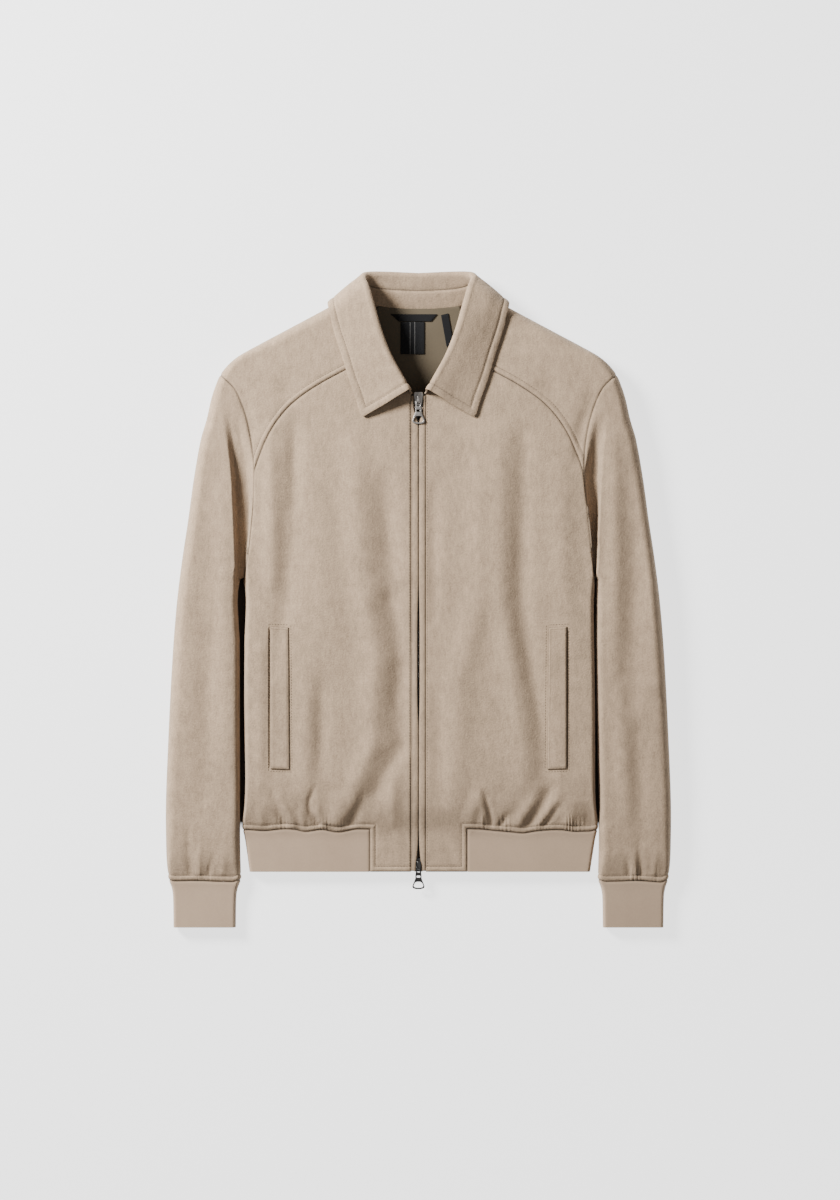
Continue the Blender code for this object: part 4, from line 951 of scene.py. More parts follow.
def node(tree, kind, **values):
    """A new node: in_ with a number or name sets that input, other words set the node itself."""
    made = tree.nodes.new(kind)
    for key, value in values.items():
        if key.startswith("in_"):
            name = key[3:]
            feed(tree, made.inputs[int(name) if name.isdigit() else name.replace("_", " ")], value)
        else:
            setattr(made, key, value)
    return made


def math_node(tree, operation, a, b=0.0):
    return node(tree, "ShaderNodeMath", operation=operation, in_0=a, in_1=b).outputs[0]


def times(tree, a, b):
    return math_node(tree, "MULTIPLY", a, b)


def plus(tree, a, b):
    return math_node(tree, "ADD", a, b)


def minus(tree, a, b):
    return math_node(tree, "SUBTRACT", a, b)


def mix_colour(tree, share, a, b):
    made = tree.nodes.new("ShaderNodeMix")
    made.data_type = "RGBA"
    for socket, value in ((made.inputs[0], share), (made.inputs[6], a), (made.inputs[7], b)):
        feed(tree, socket, (*value, 1.0) if isinstance(value, tuple) else value)
    return made.outputs[2]


def set_shader(shader, **values):
    for key, value in values.items():
        shader.inputs[key.replace("_", " ")].default_value = value


def new_material(name, roughness, metallic=0.0):
    material = bpy.data.materials.new(name)
    material.use_nodes = True
    tree = material.node_tree
    shader = tree.nodes["Principled BSDF"]
    set_shader(shader, Roughness=roughness, Metallic=metallic)
    return material, tree, shader


def set_colour(tree, shader, colour, shade=None):
    """Gives the shader its colour, darkened by painted shade where there is one."""
    if shade is not None:
        darkened = node(tree, "ShaderNodeVectorMath", operation="SCALE", in_0=colour)
        tree.links.new(shade, darkened.inputs[3])
        colour = darkened.outputs[0]
    tree.links.new(colour, shader.inputs["Base Color"])


def set_bump(tree, shader, height, strength, distance):
    bump = node(
        tree, "ShaderNodeBump", in_Height=height, in_Strength=strength, in_Distance=distance
    )
    tree.links.new(bump.outputs[0], shader.inputs["Normal"])


def object_place(tree):
    return node(tree, "ShaderNodeTexCoord").outputs["Object"]


def noise(tree, vector, scale, detail=2.0, roughness=0.5):
    fineness = {"in_Scale": scale, "in_Detail": detail, "in_Roughness": roughness}
    return node(tree, "ShaderNodeTexNoise", in_Vector=vector, **fineness).outputs["Fac"]


def painted_line_shade(tree, attribute, width, depth):
    """Painted shade along a line: 1 away from it, down to 1 - depth on it, from a distance kept on
    the mesh.
    """
    distance = node(tree, "ShaderNodeAttribute", attribute_name=attribute).outputs["Fac"]
    squared = math_node(tree, "POWER", times(tree, distance, 1 / width), 2.0)
    falloff = math_node(tree, "EXPONENT", times(tree, squared, -1.0))
    return minus(tree, 1.0, times(tree, falloff, depth))


def suede(name, light, dark):
    """Brushed suede: mottled nap that has been stroked both ways, with painted shade darkening it
    in its seams and stitch grooves.
    """
    material, tree, shader = new_material(name, 0.92)
    place = object_place(tree)
    stretch = {"operation": "MULTIPLY", "in_0": place, "in_1": (1.0, 0.3, 1.0)}
    streaks = node(tree, "ShaderNodeVectorMath", **stretch).outputs[0]
    layers = (
        (noise(tree, place, 16.0, 3.0, 0.55), 0.5),
        (noise(tree, place, 75.0, 3.0, 0.6), 0.6),
        (noise(tree, streaks, 230.0, 2.0, 0.6), 0.8),
        (noise(tree, place, 520.0, 2.0, 0.7), 1.1),
        (noise(tree, place, 1400.0, 1.0, 0.6), 0.8),
    )
    spread = 0.0
    for value, weight in layers:
        spread = plus(tree, spread, times(tree, minus(tree, value, 0.5), weight))
    share = node(tree, "ShaderNodeMapRange", in_0=spread, in_1=-0.5, in_2=0.5).outputs[0]
    # painted shade: the colour darkens near seams, the pocket's slit, the collar's roll and the
    # stitch lines
    shade = times(tree, painted_line_shade(tree, "seam", 0.9, 0.5), painted_line_shade(tree, "stitch", 0.6, 0.3))
    set_colour(tree, shader, mix_colour(tree, share, dark, light), shade)
    set_shader(shader, Sheen_Weight=0.12, Sheen_Roughness=0.55, Specular_IOR_Level=0.15)
    set_shader(shader, Sheen_Tint=(1.0, 0.95, 0.88, 1.0))
    small, fine = layers[1][0], layers[3][0]
    height = plus(tree, times(tree, fine, 0.8), times(tree, small, 0.9))
    set_bump(tree, shader, height, 0.45, 0.0011)
    return material


def rib_knit(name, light, dark):
    """Fine knit: narrow wales along the band's height, with a soft halo, and painted shade in the
    grooves between the wales.
    """
    material, tree, shader = new_material(name, 0.95)
    place = node(tree, "ShaderNodeTexCoord")
    across = node(tree, "ShaderNodeSeparateXYZ", in_0=place.outputs["UV"])
    wale = math_node(tree, "SINE", times(tree, across.outputs[0], 2 * math.pi / WALE_PITCH))
    course = math_node(tree, "SINE", times(tree, across.outputs[1], 2 * math.pi / COURSE_PITCH))
    broad = noise(tree, place.outputs["Object"], 18.0, 3.0)
    small = noise(tree, place.outputs["Object"], 420.0, 2.0)
    # painted shade: the colour is lighter on each wale's crest and darker in the grooves between
    # wales, over random mottle
    share = plus(tree, times(tree, wale, 0.12), times(tree, broad, 0.9))
    share = plus(tree, share, times(tree, minus(tree, small, 0.5), 0.5))
    # painted shade: the rib's colour darkens near its seams
    shade = painted_line_shade(tree, "seam", 1.0, 0.6)
    set_colour(tree, shader, mix_colour(tree, share, dark, light), shade)
    set_shader(shader, Sheen_Weight=0.12, Sheen_Roughness=0.6, Specular_IOR_Level=0.15)
    height = plus(tree, plus(tree, wale, times(tree, course, 0.35)), times(tree, small, 1.2))
    set_bump(tree, shader, height, 0.3, 0.0002)
    return material


def plain_cloth(name, light, dark, roughness, scale, sheen=0.1, shine=0.5):
    """A smooth cloth with one broad mottle, as on lining, tape, thread and labels."""
    material, tree, shader = new_material(name, roughness)
    place = object_place(tree)
    set_colour(tree, shader, mix_colour(tree, noise(tree, place, scale, 3.0), dark, light))
    set_shader(shader, Sheen_Weight=sheen, Specular_IOR_Level=shine)
    set_bump(tree, shader, noise(tree, place, 1500.0, 1.0), 0.3, 0.0002)
    return material


def lined_tab(name, ground, line, lines, half_line):
    """A woven tab with fine lines along it, placed by how far across the tab they are."""
    material, tree, shader = new_material(name, 0.7)
    place = node(tree, "ShaderNodeTexCoord")
    across = node(tree, "ShaderNodeSeparateXYZ", in_0=place.outputs["UV"]).outputs[0]
    total = 0.0
    for where in lines:
        away = math_node(tree, "ABSOLUTE", minus(tree, across, where))
        total = plus(tree, total, math_node(tree, "LESS_THAN", away, half_line))
    weave = noise(tree, place.outputs["Object"], 1300.0, 1.0)
    base = mix_colour(tree, weave, ground, tuple(1.6 * part for part in ground))
    set_colour(tree, shader, mix_colour(tree, total, base, line))
    set_shader(shader, Specular_IOR_Level=0.12)
    set_bump(tree, shader, weave, 0.4, 0.0003)
    return material


def metal(name, light, dark, roughness):
    """Cast metal whose colour and polish vary a little with wear."""
    material, tree, shader = new_material(name, roughness, 1.0)
    worn = noise(tree, object_place(tree), 260.0, 3.0)
    set_colour(tree, shader, mix_colour(tree, worn, dark, light))
    span = {"in_3": roughness - 0.08, "in_4": roughness + 0.1}
    rough = node(tree, "ShaderNodeMapRange", in_0=worn, **span)
    tree.links.new(rough.outputs[0], shader.inputs["Roughness"])
    return material


SUEDE = suede("suede", (0.375, 0.269, 0.178), (0.20, 0.143, 0.094))
THREAD = plain_cloth(
    "suede_thread", (0.16, 0.12, 0.084), (0.11, 0.082, 0.056), 0.8, 300.0, shine=0.2
)
RIB = rib_knit("rib_knit", (0.35, 0.251, 0.171), (0.275, 0.195, 0.131))
LINING = plain_cloth("lining", (0.088, 0.068, 0.043), (0.062, 0.048, 0.029), 0.6, 14.0, shine=0.2)
WOVEN = plain_cloth(
    "woven_label", (0.0085, 0.0083, 0.009), (0.0055, 0.0055, 0.006), 0.7, 900.0, 0.0, 0.1
)
TAB_CLOTH = lined_tab(
    "woven_tab", (0.006, 0.006, 0.0065), (0.075, 0.072, 0.07), TAB_LINES, TAB_LINE_HALF
)
TAPE = plain_cloth("zip_tape", (0.24, 0.178, 0.125), (0.19, 0.14, 0.095), 0.85, 60.0)
# painted light: a lighter copy of the zip's gunmetal, given to the top slider and pull
GUNMETAL_PAINTED_LIGHT = metal("gunmetal_painted_light", (0.50, 0.47, 0.44), (0.30, 0.28, 0.26), 0.38)
GUNMETAL = metal("gunmetal", (0.13, 0.125, 0.12), (0.07, 0.068, 0.066), 0.32)

# ---------------------------------------------------------------- meshes

SAME_POINT = 0.002
RIM_SEGMENTS = 3


def link(name, mesh, material):
    mesh.materials.append(material)
    made = bpy.data.objects.new(name, mesh)
    bpy.context.scene.collection.objects.link(made)
    return made


def mesh_from(name, made):
    """The finished mesh, turned from millimetres into metres."""
    bmesh.ops.scale(made, vec=(MM, MM, MM), verts=made.verts)
    mesh = bpy.data.meshes.new(name)
    made.to_mesh(mesh)
    made.free()
    mesh.shade_smooth()
    return mesh


def grid_mesh(name, points, normals, values, uv, keep=None):
    """A grid of quads over surface points, facing their normals, in metres."""
    rows, columns = points.shape[:2]
    made = bmesh.new()
    bmesh.ops.create_grid(made, x_segments=columns - 1, y_segments=rows - 1, size=1.0)
    layers = {key: made.verts.layers.float.new(key) for key in values}
    uv_layer = made.loops.layers.uv.new("cloth")
    place = {}
    for vert in made.verts:
        column = round((vert.co.x + 1) / 2 * (columns - 1))
        row = round((vert.co.y + 1) / 2 * (rows - 1))
        place[vert] = (row, column)
    for vert, (row, column) in place.items():
        vert.co = Vector(points[row, column])
        for key, value in values.items():
            vert[layers[key]] = float(value[row, column])
    drop = []
    for face in made.faces:
        cells = [place[vert] for vert in face.verts]
        for loop in face.loops:
            row, column = place[loop.vert]
            loop[uv_layer].uv = uv[row, column]
        if keep is not None:
            row, column = min(cell[0] for cell in cells), min(cell[1] for cell in cells)
            if not keep[row, column]:
                drop.append(face)
    first = next(iter(set(made.faces) - set(drop)))
    first.normal_update()
    row, column = place[first.verts[0]]
    if first.normal.dot(Vector(normals[row, column])) < 0:
        bmesh.ops.reverse_faces(made, faces=made.faces)
    if drop:
        bmesh.ops.delete(made, geom=drop, context="FACES")
    bmesh.ops.remove_doubles(made, verts=made.verts, dist=SAME_POINT)
    return mesh_from(name, made)


def lengths_along(grid, axis):
    """How far each point of a grid is along the cloth from the grid's first row or column."""
    run = np.linalg.norm(np.diff(grid, axis=axis), axis=2)
    pad = [(0, 0), (0, 0)]
    pad[axis] = (1, 0)
    return np.pad(np.cumsum(run, axis=axis), pad)


def flat_uv(points):
    """How far each grid point is across and along the cloth, in millimetres."""
    return np.stack([lengths_along(points, 1), lengths_along(points, 0)], axis=2)


def cloth(name, panel, thickness, material, keep=None, round_rim=0.0):
    """A panel of cloth with its real thickness inwards, and its rims closed."""
    points, normals, seam, stitch = panel
    # the seam and stitch distances are kept on the mesh; the cloth materials darken the colour near
    # them as painted shade
    mesh = grid_mesh(name, points, normals, {"seam": seam, "stitch": stitch}, flat_uv(points), keep)
    made = link(name, mesh, material)
    made["flat_area"] = float(sum(face.area for face in mesh.polygons))
    wall = made.modifiers.new("wall", "SOLIDIFY")
    wall.thickness = thickness * MM
    wall.offset = -1.0
    if round_rim:
        rim = made.modifiers.new("rim", "BEVEL")
        rim.width = round_rim * MM
        rim.segments = RIM_SEGMENTS
        rim.limit_method = "ANGLE"
        rim.angle_limit = math.radians(60)
    return made


def declare(made, node_name, extras=()):
    """Rides on the garment in place of its solid, which it hides."""
    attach(made, "garment")
    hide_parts(node_name)
    for extra in extras:
        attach(extra, "garment")


def stitches(name, rows):
    """Short threads along rows of points: each row is (points, normals) close together."""
    made = bmesh.new()
    for points, normals in rows:
        run = lengths(points)
        for start in np.arange(STITCH_PITCH / 2, run[-1] - STITCH_LENGTH / 2, STITCH_PITCH):
            ends = [
                Vector([np.interp(start + half, run, points[:, k]) for k in range(3)])
                for half in (-STITCH_LENGTH / 2, STITCH_LENGTH / 2)
            ]
            up = Vector([np.interp(start, run, normals[:, k]) for k in range(3)]).normalized()
            along = (ends[1] - ends[0]).normalized()
            side = up.cross(along).normalized()
            up = along.cross(side)
            turn = Matrix((along, side, up)).transposed().to_4x4()
            size = Matrix.Diagonal((STITCH_LENGTH / 2, STITCH_RADIUS, STITCH_RADIUS, 1.0))
            centre = (ends[0] + ends[1]) / 2 + up * STITCH_RADIUS * STITCH_PROUD
            place = Matrix.Translation(centre) @ turn @ size
            bmesh.ops.create_icosphere(made, subdivisions=1, radius=1.0, matrix=place)
    return link(name, mesh_from(name, made), THREAD)


def plan_row(path, sign, which, finish):
    """A row of stitches over a plan path."""
    path = np.asarray(path, float)
    line = at_distances(path, np.arange(0, lengths(path)[-1], STITCH_ROW_STEP))
    points, normals, _, _ = dressed(mirrored(line, sign), which, finish)
    return points, normals


def sewn(name, panel, rows, flat, rests_on, **how):
    """A suede piece with its rows of stitches, in place of the solid of the same name."""
    made = cloth(f"{name}_cloth", panel, SUEDE_WALL, SUEDE, **how)
    declare(made, name, [stitches(f"{name}_stitching", rows)])
    return made


def offset_line(line, amount):
    """A line moved sideways by an amount, to its left as it runs."""
    run = np.gradient(line, axis=0)
    run /= np.linalg.norm(run, axis=1)[:, None]
    return line + amount * np.stack([-run[:, 1], run[:, 0]], axis=1)


# ---------------------------------------------------------------- grids of the panels

SIDE_TICKS = (0.0, 0.35, 1.0, 1.8, 2.8, 4.2, 6.2, 8.8, 11.8)
SEAM_TICKS = (0.0, 0.7, 1.6, 2.8, 4.2, 6.2)
NO_TICKS = (0.0,)
FRONT_WIDTH = 148.2  # from the side to the tab
HEM_FRONT_WIDTH = 150.0
BODY_WIDTH = 412.0
SLEEVE_WIDTH = 84.0
CUFF_WIDTH = 76.0
SLEEVE_TIP_LENGTH = 24.0


def shares_of(total, step=CLOTH_STEP, start=NEAR_EDGE, end=NEAR_EDGE):
    """Ticks as shares of a length, with a lying fold's end on the outline itself."""
    found = ticks(total, step, start, end) / total
    if start is SIDE_TICKS:
        found[0] = 0.0
    if end is SIDE_TICKS:
        found[-1] = 1.0
    return found


def plan_rows(across, ys):
    """Plan points in rows at these heights, from how far across each column is."""
    return np.stack([across, np.repeat(ys[:, None], across.shape[1], axis=1)], axis=2)


def front_plan():
    """The right front: tab rows, rows up to the armpit and rows up to the yoke, side to zip."""
    side = shares_of(FRONT_WIDTH, FINE_STEP, SIDE_TICKS, NEAR_EDGE)
    mouth = np.arange(*MOUTH_COLUMNS)
    side = np.sort(np.concatenate([side[(side < mouth[0]) | (side > mouth[-1])], mouth]))
    tab_width = TAB_SIDE_X - EDGE_STRIP_X
    tab_across = TAB_SIDE_X - shares_of(tab_width, end=SEAM_TICKS) * tab_width

    def row(y, side_x):
        across = np.concatenate([side_x + side * (TAB_SIDE_X - side_x), tab_across])
        return np.column_stack([across, np.full(len(across), y)])

    tab_ys = HEM_BOTTOM_Y + ticks(HEM_SEAM_Y - HEM_BOTTOM_Y, 4.0)[:-1]
    low_ys = HEM_SEAM_Y + ticks(ARMPIT_Y - HEM_SEAM_Y, end=NO_TICKS)
    tab = [row(y, HEM_SEAM_X) for y in tab_ys]
    lower = [row(y, x) for x, y in points_at_y(SIDE_SEAM, low_ys)]
    up = shares_of(lengths(ARMHOLE_LOW_LINE)[-1], 2.6, NO_TICKS, SEAM_TICKS)
    right = at_shares(np.vstack([[(EDGE_STRIP_X, ARMPIT_Y)], spline(FRONT_NECK)]), up)
    corner = np.argmin(np.linalg.norm(right - FRONT_NECK[0], axis=1))
    right[corner] = FRONT_NECK[0]
    bottom = lower[-1]
    top = at_shares(YOKE_LINE, lengths(bottom) / lengths(bottom)[-1])
    upper = coons(bottom, top, at_shares(ARMHOLE_LOW_LINE, up), right)
    plan = np.concatenate([tab, lower, upper[1:]])
    keep = np.ones((len(plan) - 1, plan.shape[1] - 1), bool)
    keep[: len(tab_ys), : len(side)] = False
    return plan, keep


def yoke_plan():
    shares = shares_of(lengths(YOKE_LINE)[-1], start=SEAM_TICKS, end=SEAM_TICKS)
    armhole = ARMHOLE_TOP_LINE[::-1]
    up = shares_of(lengths(armhole)[-1], 2.8, NEAR_EDGE, SIDE_TICKS)
    return coons(
        at_shares(YOKE_LINE, shares),
        at_shares(SHOULDER_SEAM, shares),
        at_shares(armhole, up),
        at_shares(YOKE_NECK_LINE, up),
    )


def sleeve_plan_pair():
    """Upper and under layers of the right sleeve, outside to inside, from the cuff to the tip."""
    inside_ys = CUFF_SEAM_Y + ticks(ARMPIT_Y - CUFF_SEAM_Y, end=NO_TICKS)
    inside = points_at_y(SLEEVE_INSIDE, inside_ys)
    front = np.vstack([ARMHOLE_LOW_LINE, ARMHOLE_TOP_LINE[-2::-1]])
    back = ARMHOLE_BACK_LINE
    edges, tips = [], []
    rows = round((lengths(back)[-1] - SLEEVE_TIP_LENGTH) / CLOTH_STEP)
    for line in (front, back):
        total = lengths(line)[-1]
        up = np.linspace(0, total - SLEEVE_TIP_LENGTH, rows)
        edges.append(np.vstack([inside, at_distances(line, up)[1:]]))
        tips.append(at_distances(line, total - SLEEVE_TIP_LENGTH * np.linspace(0, 1, 200))[::-1])
    middle_y = (edges[0][:, 1] + edges[1][:, 1]) / 2
    stretch = (SHOULDER_TIP[1] - CUFF_SEAM_Y) / (middle_y[-1] - CUFF_SEAM_Y)
    outside = points_at_y(SLEEVE_OUTSIDE, CUFF_SEAM_Y + stretch * (middle_y - CUFF_SEAM_Y))
    shares = shares_of(SLEEVE_WIDTH, 1.5, SIDE_TICKS, SIDE_TICKS)
    plans = []
    for edge, tip in zip(edges, tips):
        low = outside[0] + np.outer(shares, edge[0] - outside[0])
        plans.append(coons(low, at_shares(tip[::-1], shares), outside, edge))
    return plans


def cuff_plan_pair():
    ys = CUFF_BOTTOM_Y + ticks(CUFF_SEAM_Y - CUFF_BOTTOM_Y)
    outside, inside = points_at_y(OUTER[len(OUTER) // 2 :], ys), points_at_y(INNER, ys)
    shares = shares_of(CUFF_WIDTH, 2.8, SIDE_TICKS, SIDE_TICKS)
    plan = outside[:, None] + shares[None, :, None] * (inside - outside)[:, None]
    return plan, plan


def back_plan():
    side_ys = HEM_SEAM_Y + ticks(ARMPIT_Y - HEM_SEAM_Y, 6.0, SEAM_TICKS, NO_TICKS)
    shares = shares_of(BODY_WIDTH, 5.0, SIDE_TICKS, SIDE_TICKS)
    halves, ys = points_at_y(SIDE_SEAM, side_ys).T
    lower = plan_rows(-halves[:, None] + 2 * halves[:, None] * shares, ys)
    up = shares_of(lengths(ARMHOLE_BACK_LINE)[-1], 5.0, NO_TICKS, SIDE_TICKS)
    half = np.vstack([SHOULDER_SEAM, BACK_NECK_LINE[1:]])
    top = np.vstack([mirrored(half, -1), half[-2::-1]])
    armhole = at_shares(ARMHOLE_BACK_LINE, up)
    upper = coons(lower[-1], at_shares(top, shares), mirrored(armhole, -1), armhole)
    return np.concatenate([lower, upper[1:]])


def joined(first, *others):
    """Panels side by side, each after the first without its first column."""
    return tuple(
        np.concatenate([first[k], *(other[k][:, 1:] for other in others)], axis=1)
        for k in range(4)
    )


def flipped(panel):
    return tuple(part[:, ::-1] for part in panel)


def tube(plans, sign, top_finish, low_finish):
    """A sleeve's or cuff's upper and under layers as one panel, joined at the outer fold."""
    top = flipped(dressed(mirrored(plans[0], sign), "top", top_finish))
    return joined(top, dressed(mirrored(plans[1], sign), "bottom", low_finish))


# ---------------------------------------------------------------- the garment's panels

STITCH_SIDE_X = 207.0
SLEEVE_STITCH_ENDS = (212.0, 292.5)
RIB_RIM = 0.7
STRIP_RIM = 0.5
LEAF_RIM = 0.9
LABEL_RIM = 0.25


def make_fronts():
    plan, keep = front_plan()
    stitch_path = [
        (STITCH_SIDE_X, HEM_SEAM_Y + BAND_WIDTH),
        (TAB_SIDE_X - BAND_WIDTH, HEM_SEAM_Y + BAND_WIDTH),
        (TAB_SIDE_X - BAND_WIDTH, HEM_BOTTOM_Y + BAND_WIDTH),
        (EDGE_STRIP_X + 1, HEM_BOTTOM_Y + BAND_WIDTH),
    ]
    for side, sign in SIDES:
        panel = dressed(mirrored(plan, sign), "top", FRONT_FINISH)
        rows = [plan_row(stitch_path, sign, "top", FRONT_FINISH)]
        sewn(f"front_{side}", panel, rows, (0.215, 0.62), "back_panel", keep=keep)


def make_yokes():
    plan = yoke_plan()
    path = offset_line(YOKE_LINE, -STITCH_INSET)
    for side, sign in SIDES:
        panel = dressed(mirrored(plan, sign), "top", YOKE_FINISH)
        rows = [plan_row(path, sign, "top", YOKE_FINISH)]
        sewn(f"yoke_{side}", panel, rows, (0.19, 0.225), "back_panel")


def make_sleeves():
    plans = sleeve_plan_pair()
    path = [(x, CUFF_SEAM_Y + BAND_WIDTH) for x in SLEEVE_STITCH_ENDS]
    for side, sign in SIDES:
        panel = tube(plans, sign, SLEEVE_FINISH, UNDER_FINISH)
        rows = [plan_row(path, sign, "top", SLEEVE_FINISH)]
        made = sewn(f"sleeve_{side}", panel, rows, (0.215, 0.61), "floor")
        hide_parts(f"sleeve_{side}_under")


def make_cuffs():
    plans = cuff_plan_pair()
    for side, sign in SIDES:
        panel = tube(plans, sign, CUFF_FINISH, CUFF_FINISH)
        made = cloth(f"cuff_{side}_rib", panel, RIB_WALL, RIB, round_rim=RIB_RIM)
        declare(made, f"cuff_{side}")


def make_back():
    panel = dressed(back_plan(), "bottom", BACK_FINISH)
    made = cloth("back_cloth", panel, SUEDE_WALL, SUEDE)
    declare(made, "back_panel")


def make_hem_rib():
    """One band from the left tab round the back to the right tab."""
    ys = HEM_BOTTOM_Y + ticks(HEM_SEAM_Y - HEM_BOTTOM_Y)
    halves = points_at_y(BODY_SIDE, ys)[:, :1]
    front_shares = shares_of(HEM_FRONT_WIDTH, 2.8, NEAR_EDGE, SIDE_TICKS)
    back_shares = shares_of(BODY_WIDTH, 4.0, SIDE_TICKS, SIDE_TICKS)
    front = TAB_SIDE_X + front_shares[None] * (halves - TAB_SIDE_X)
    back = halves * (2 * back_shares[None] - 1)
    panels = [
        dressed(plan_rows(across, ys), which, HEM_FINISH)
        for across, which in ((-front, "top"), (back, "bottom"), (front[:, ::-1], "top"))
    ]
    made = cloth("hem_band_rib", joined(*panels), RIB_WALL, RIB, round_rim=RIB_RIM)
    declare(made, "hem_rib")


# ---------------------------------------------------------------- collar

COLLAR_ROWS = 110
STAND_ROWS = 7
ROLL_STEP = 12
LEAF_ROWS = 30


def neck_edge():
    """The right half of the neck seam, zip to centre back, with its normals and ways inwards."""
    front = np.vstack([spline(FRONT_NECK, 4.0), spline(YOKE_NECK, 4.0)[1:]])
    top_points, top_normals = layer(front, "top")
    low_points, low_normals = layer(BACK_NECK_LINE[1:], "bottom")
    points = np.vstack([top_points, low_points])
    normals = np.vstack([top_normals, low_normals])
    inwards = np.cross(normals, np.gradient(points, axis=0))
    inwards /= np.linalg.norm(inwards, axis=1)[:, None]
    inwards *= np.sign(((np.array(NECK_CENTRE) - points) * inwards).sum(1))[:, None]
    return points, normals, inwards


def spline_values(rows, index):
    """Rows of a table read at fractional row numbers, on a smooth curve."""
    padded = np.vstack([2 * rows[0] - rows[1], rows, 2 * rows[-1] - rows[-2]])
    whole = np.clip(index.astype(int), 0, len(rows) - 2)
    t = (index - whole)[:, None]
    a, b, c, d = (padded[whole + k] for k in range(4))
    squared, cubed = 2 * a - 5 * b + 4 * c - d, 3 * b - a - 3 * c + d
    return 0.5 * (2 * b + (c - a) * t + squared * t**2 + cubed * t**3)


def collar_section(neck, roll, middle, tip):
    """Up the stand, over the roll, and down the leaf to its edge, as closely spaced points."""
    apex = roll - (neck + middle) / 2
    apex /= np.linalg.norm(apex)
    across = neck - middle
    across -= np.dot(across, apex) * apex
    across /= np.linalg.norm(across)
    hub = roll - ROLL_RADIUS * apex
    start = hub + ROLL_RADIUS * across
    stand_top = neck + STAND_SHARE * (start - neck)
    angles = np.radians(np.arange(0, 181, ROLL_STEP))
    arc = [
        hub + ROLL_RADIUS * (math.cos(angle) * across + math.sin(angle) * apex)
        for angle in angles
    ]
    leaf_high = arc[-1] + 0.5 * (middle - arc[-1])
    leaf_high = leaf_high + LEAF_BOW * np.linalg.norm(middle - arc[-1]) * apex
    leaf_low = 0.5 * (middle + tip) + LEAF_DRAW * (middle - tip)
    stand = np.linspace(neck, stand_top, STAND_ROWS)
    rise = np.linspace(stand_top, arc[0], 5)[1:-1]
    fall = spline(np.array([arc[-3], arc[-1], leaf_high, middle, leaf_low, tip]), 2.0)
    fall = fall[np.argmin(np.linalg.norm(fall - arc[-1], axis=1)) :]
    total = lengths(fall)[-1]
    leaf = at_distances(fall, total - collar_ticks(total)[::-1])
    return stand, np.vstack([rise, arc, leaf[1:]])


def collar_ticks(total):
    """Distances from the leaf's edge inwards, close together over its stitched band."""
    near = np.array([HALF_GAP, *COLLAR_TICKS])
    return np.concatenate([near, np.linspace(near[-1], total, LEAF_ROWS - len(near) + 1)[1:]])


def collar_sections():
    """Cross-sections of the collar's centre surface, from the front end to the centre back."""
    points, normals, inwards = neck_edge()
    edge = points + inwards * (SEAM_GAP + COLLAR_WALL / 2) - normals * SUEDE_WALL / 2
    run = lengths(points)
    near = np.array([0.0, *COLLAR_TICKS]) / run[-1]
    stations = np.concatenate([near, np.linspace(near[-1], 1, COLLAR_ROWS)[1:]])
    neck = np.stack([np.interp(stations, run / run[-1], edge[:, k]) for k in range(3)], axis=1)
    columns = np.array(COLLAR_STATIONS).T
    index = np.interp(stations, columns[0], np.arange(len(COLLAR_STATIONS)))
    roll = spline_values(columns[1:4].T, index)
    rest = spline_values(columns[4:].T, index)
    clear = COLLAR_CLEARANCE + COLLAR_WALL / 2
    stands, leaves = [], []
    for k, where in enumerate(index):
        middle_x, middle_y, puff, edge_x, edge_y = rest[k]
        wrap = WRAP_CLEARANCE * math.exp(-((where - COLLAR_WRAP_STATION) ** 2))
        which = "top" if where < COLLAR_WRAP_STATION else "bottom"
        ends = []
        for x, y, lift in (
            (middle_x, middle_y, clear + max(puff, 0.0)),
            (edge_x, edge_y, clear + wrap),
        ):
            surface, normal = layer([(x, y)], which)
            point = (surface + normal * lift)[0]
            point[2] = max(point[2], COLLAR_WALL / 2)
            ends.append(point)
        stand, leaf = collar_section(neck[k], roll[k], *ends)
        stands.append(stand)
        leaves.append(leaf)
    return np.array(stands), np.array(leaves)


def rounded_tip(leaf):
    """The leaf with its sharp corner at the front drawn in to a round one."""
    tip = leaf[0, -1, :2]
    sides = []
    for line in (leaf[0, ::-1, :2], leaf[:, -1, :2]):
        sides.append(line[np.argmax(np.linalg.norm(line - tip, axis=1) > TIP_RADIUS)] - tip)
    sides = np.array(sides).T
    sides *= TIP_RADIUS / np.linalg.norm(sides, axis=0)
    share = 1 - (leaf[..., :2] - tip) @ np.linalg.inv(sides).T
    inside = (share > 0).all(axis=-1)
    u, v = np.moveaxis(np.clip(share, 0, 1), -1, 0)
    drawn = np.stack([1 - u * np.sqrt(1 - v**2 / 2), 1 - v * np.sqrt(1 - u**2 / 2)], axis=-1)
    rounded = leaf.copy()
    rounded[inside, :2] = tip + drawn[inside] @ sides.T
    return rounded


def surface_normals(points):
    across = np.cross(np.gradient(points, axis=0), np.gradient(points, axis=1))
    return across / np.linalg.norm(across, axis=2)[..., None]


def both_halves(half):
    return np.concatenate([half * np.array([-1.0, 1.0, 1.0]), half[-2::-1]])


def make_collar():
    stands, leaves = collar_sections()
    whole = both_halves(np.concatenate([stands, rounded_tip(leaves)], axis=1))
    normals = surface_normals(whole)
    cut = stands.shape[1]
    make_stand(whole[:, :cut], normals[:, :cut])
    make_leaf(whole[:, cut - 1 :], normals[:, cut - 1 :])


def dip(distance, depth, width=COLLAR_DIP_WIDTH):
    return depth * np.exp(-((distance / width) ** 2))


def make_stand(stand, normals):
    foot = np.linalg.norm(stand - stand[:, :1], axis=2)
    head = np.linalg.norm(stand - stand[:, -1:], axis=2)
    seam = np.minimum(foot, head)
    out = COLLAR_WALL / 2 - dip(seam, STAND_DIP)
    panel = (stand + normals * out[..., None], normals, seam, np.full(seam.shape, FAR))
    made = cloth("collar_stand_cloth", panel, COLLAR_WALL, SUEDE)
    declare(made, "collar_stand")


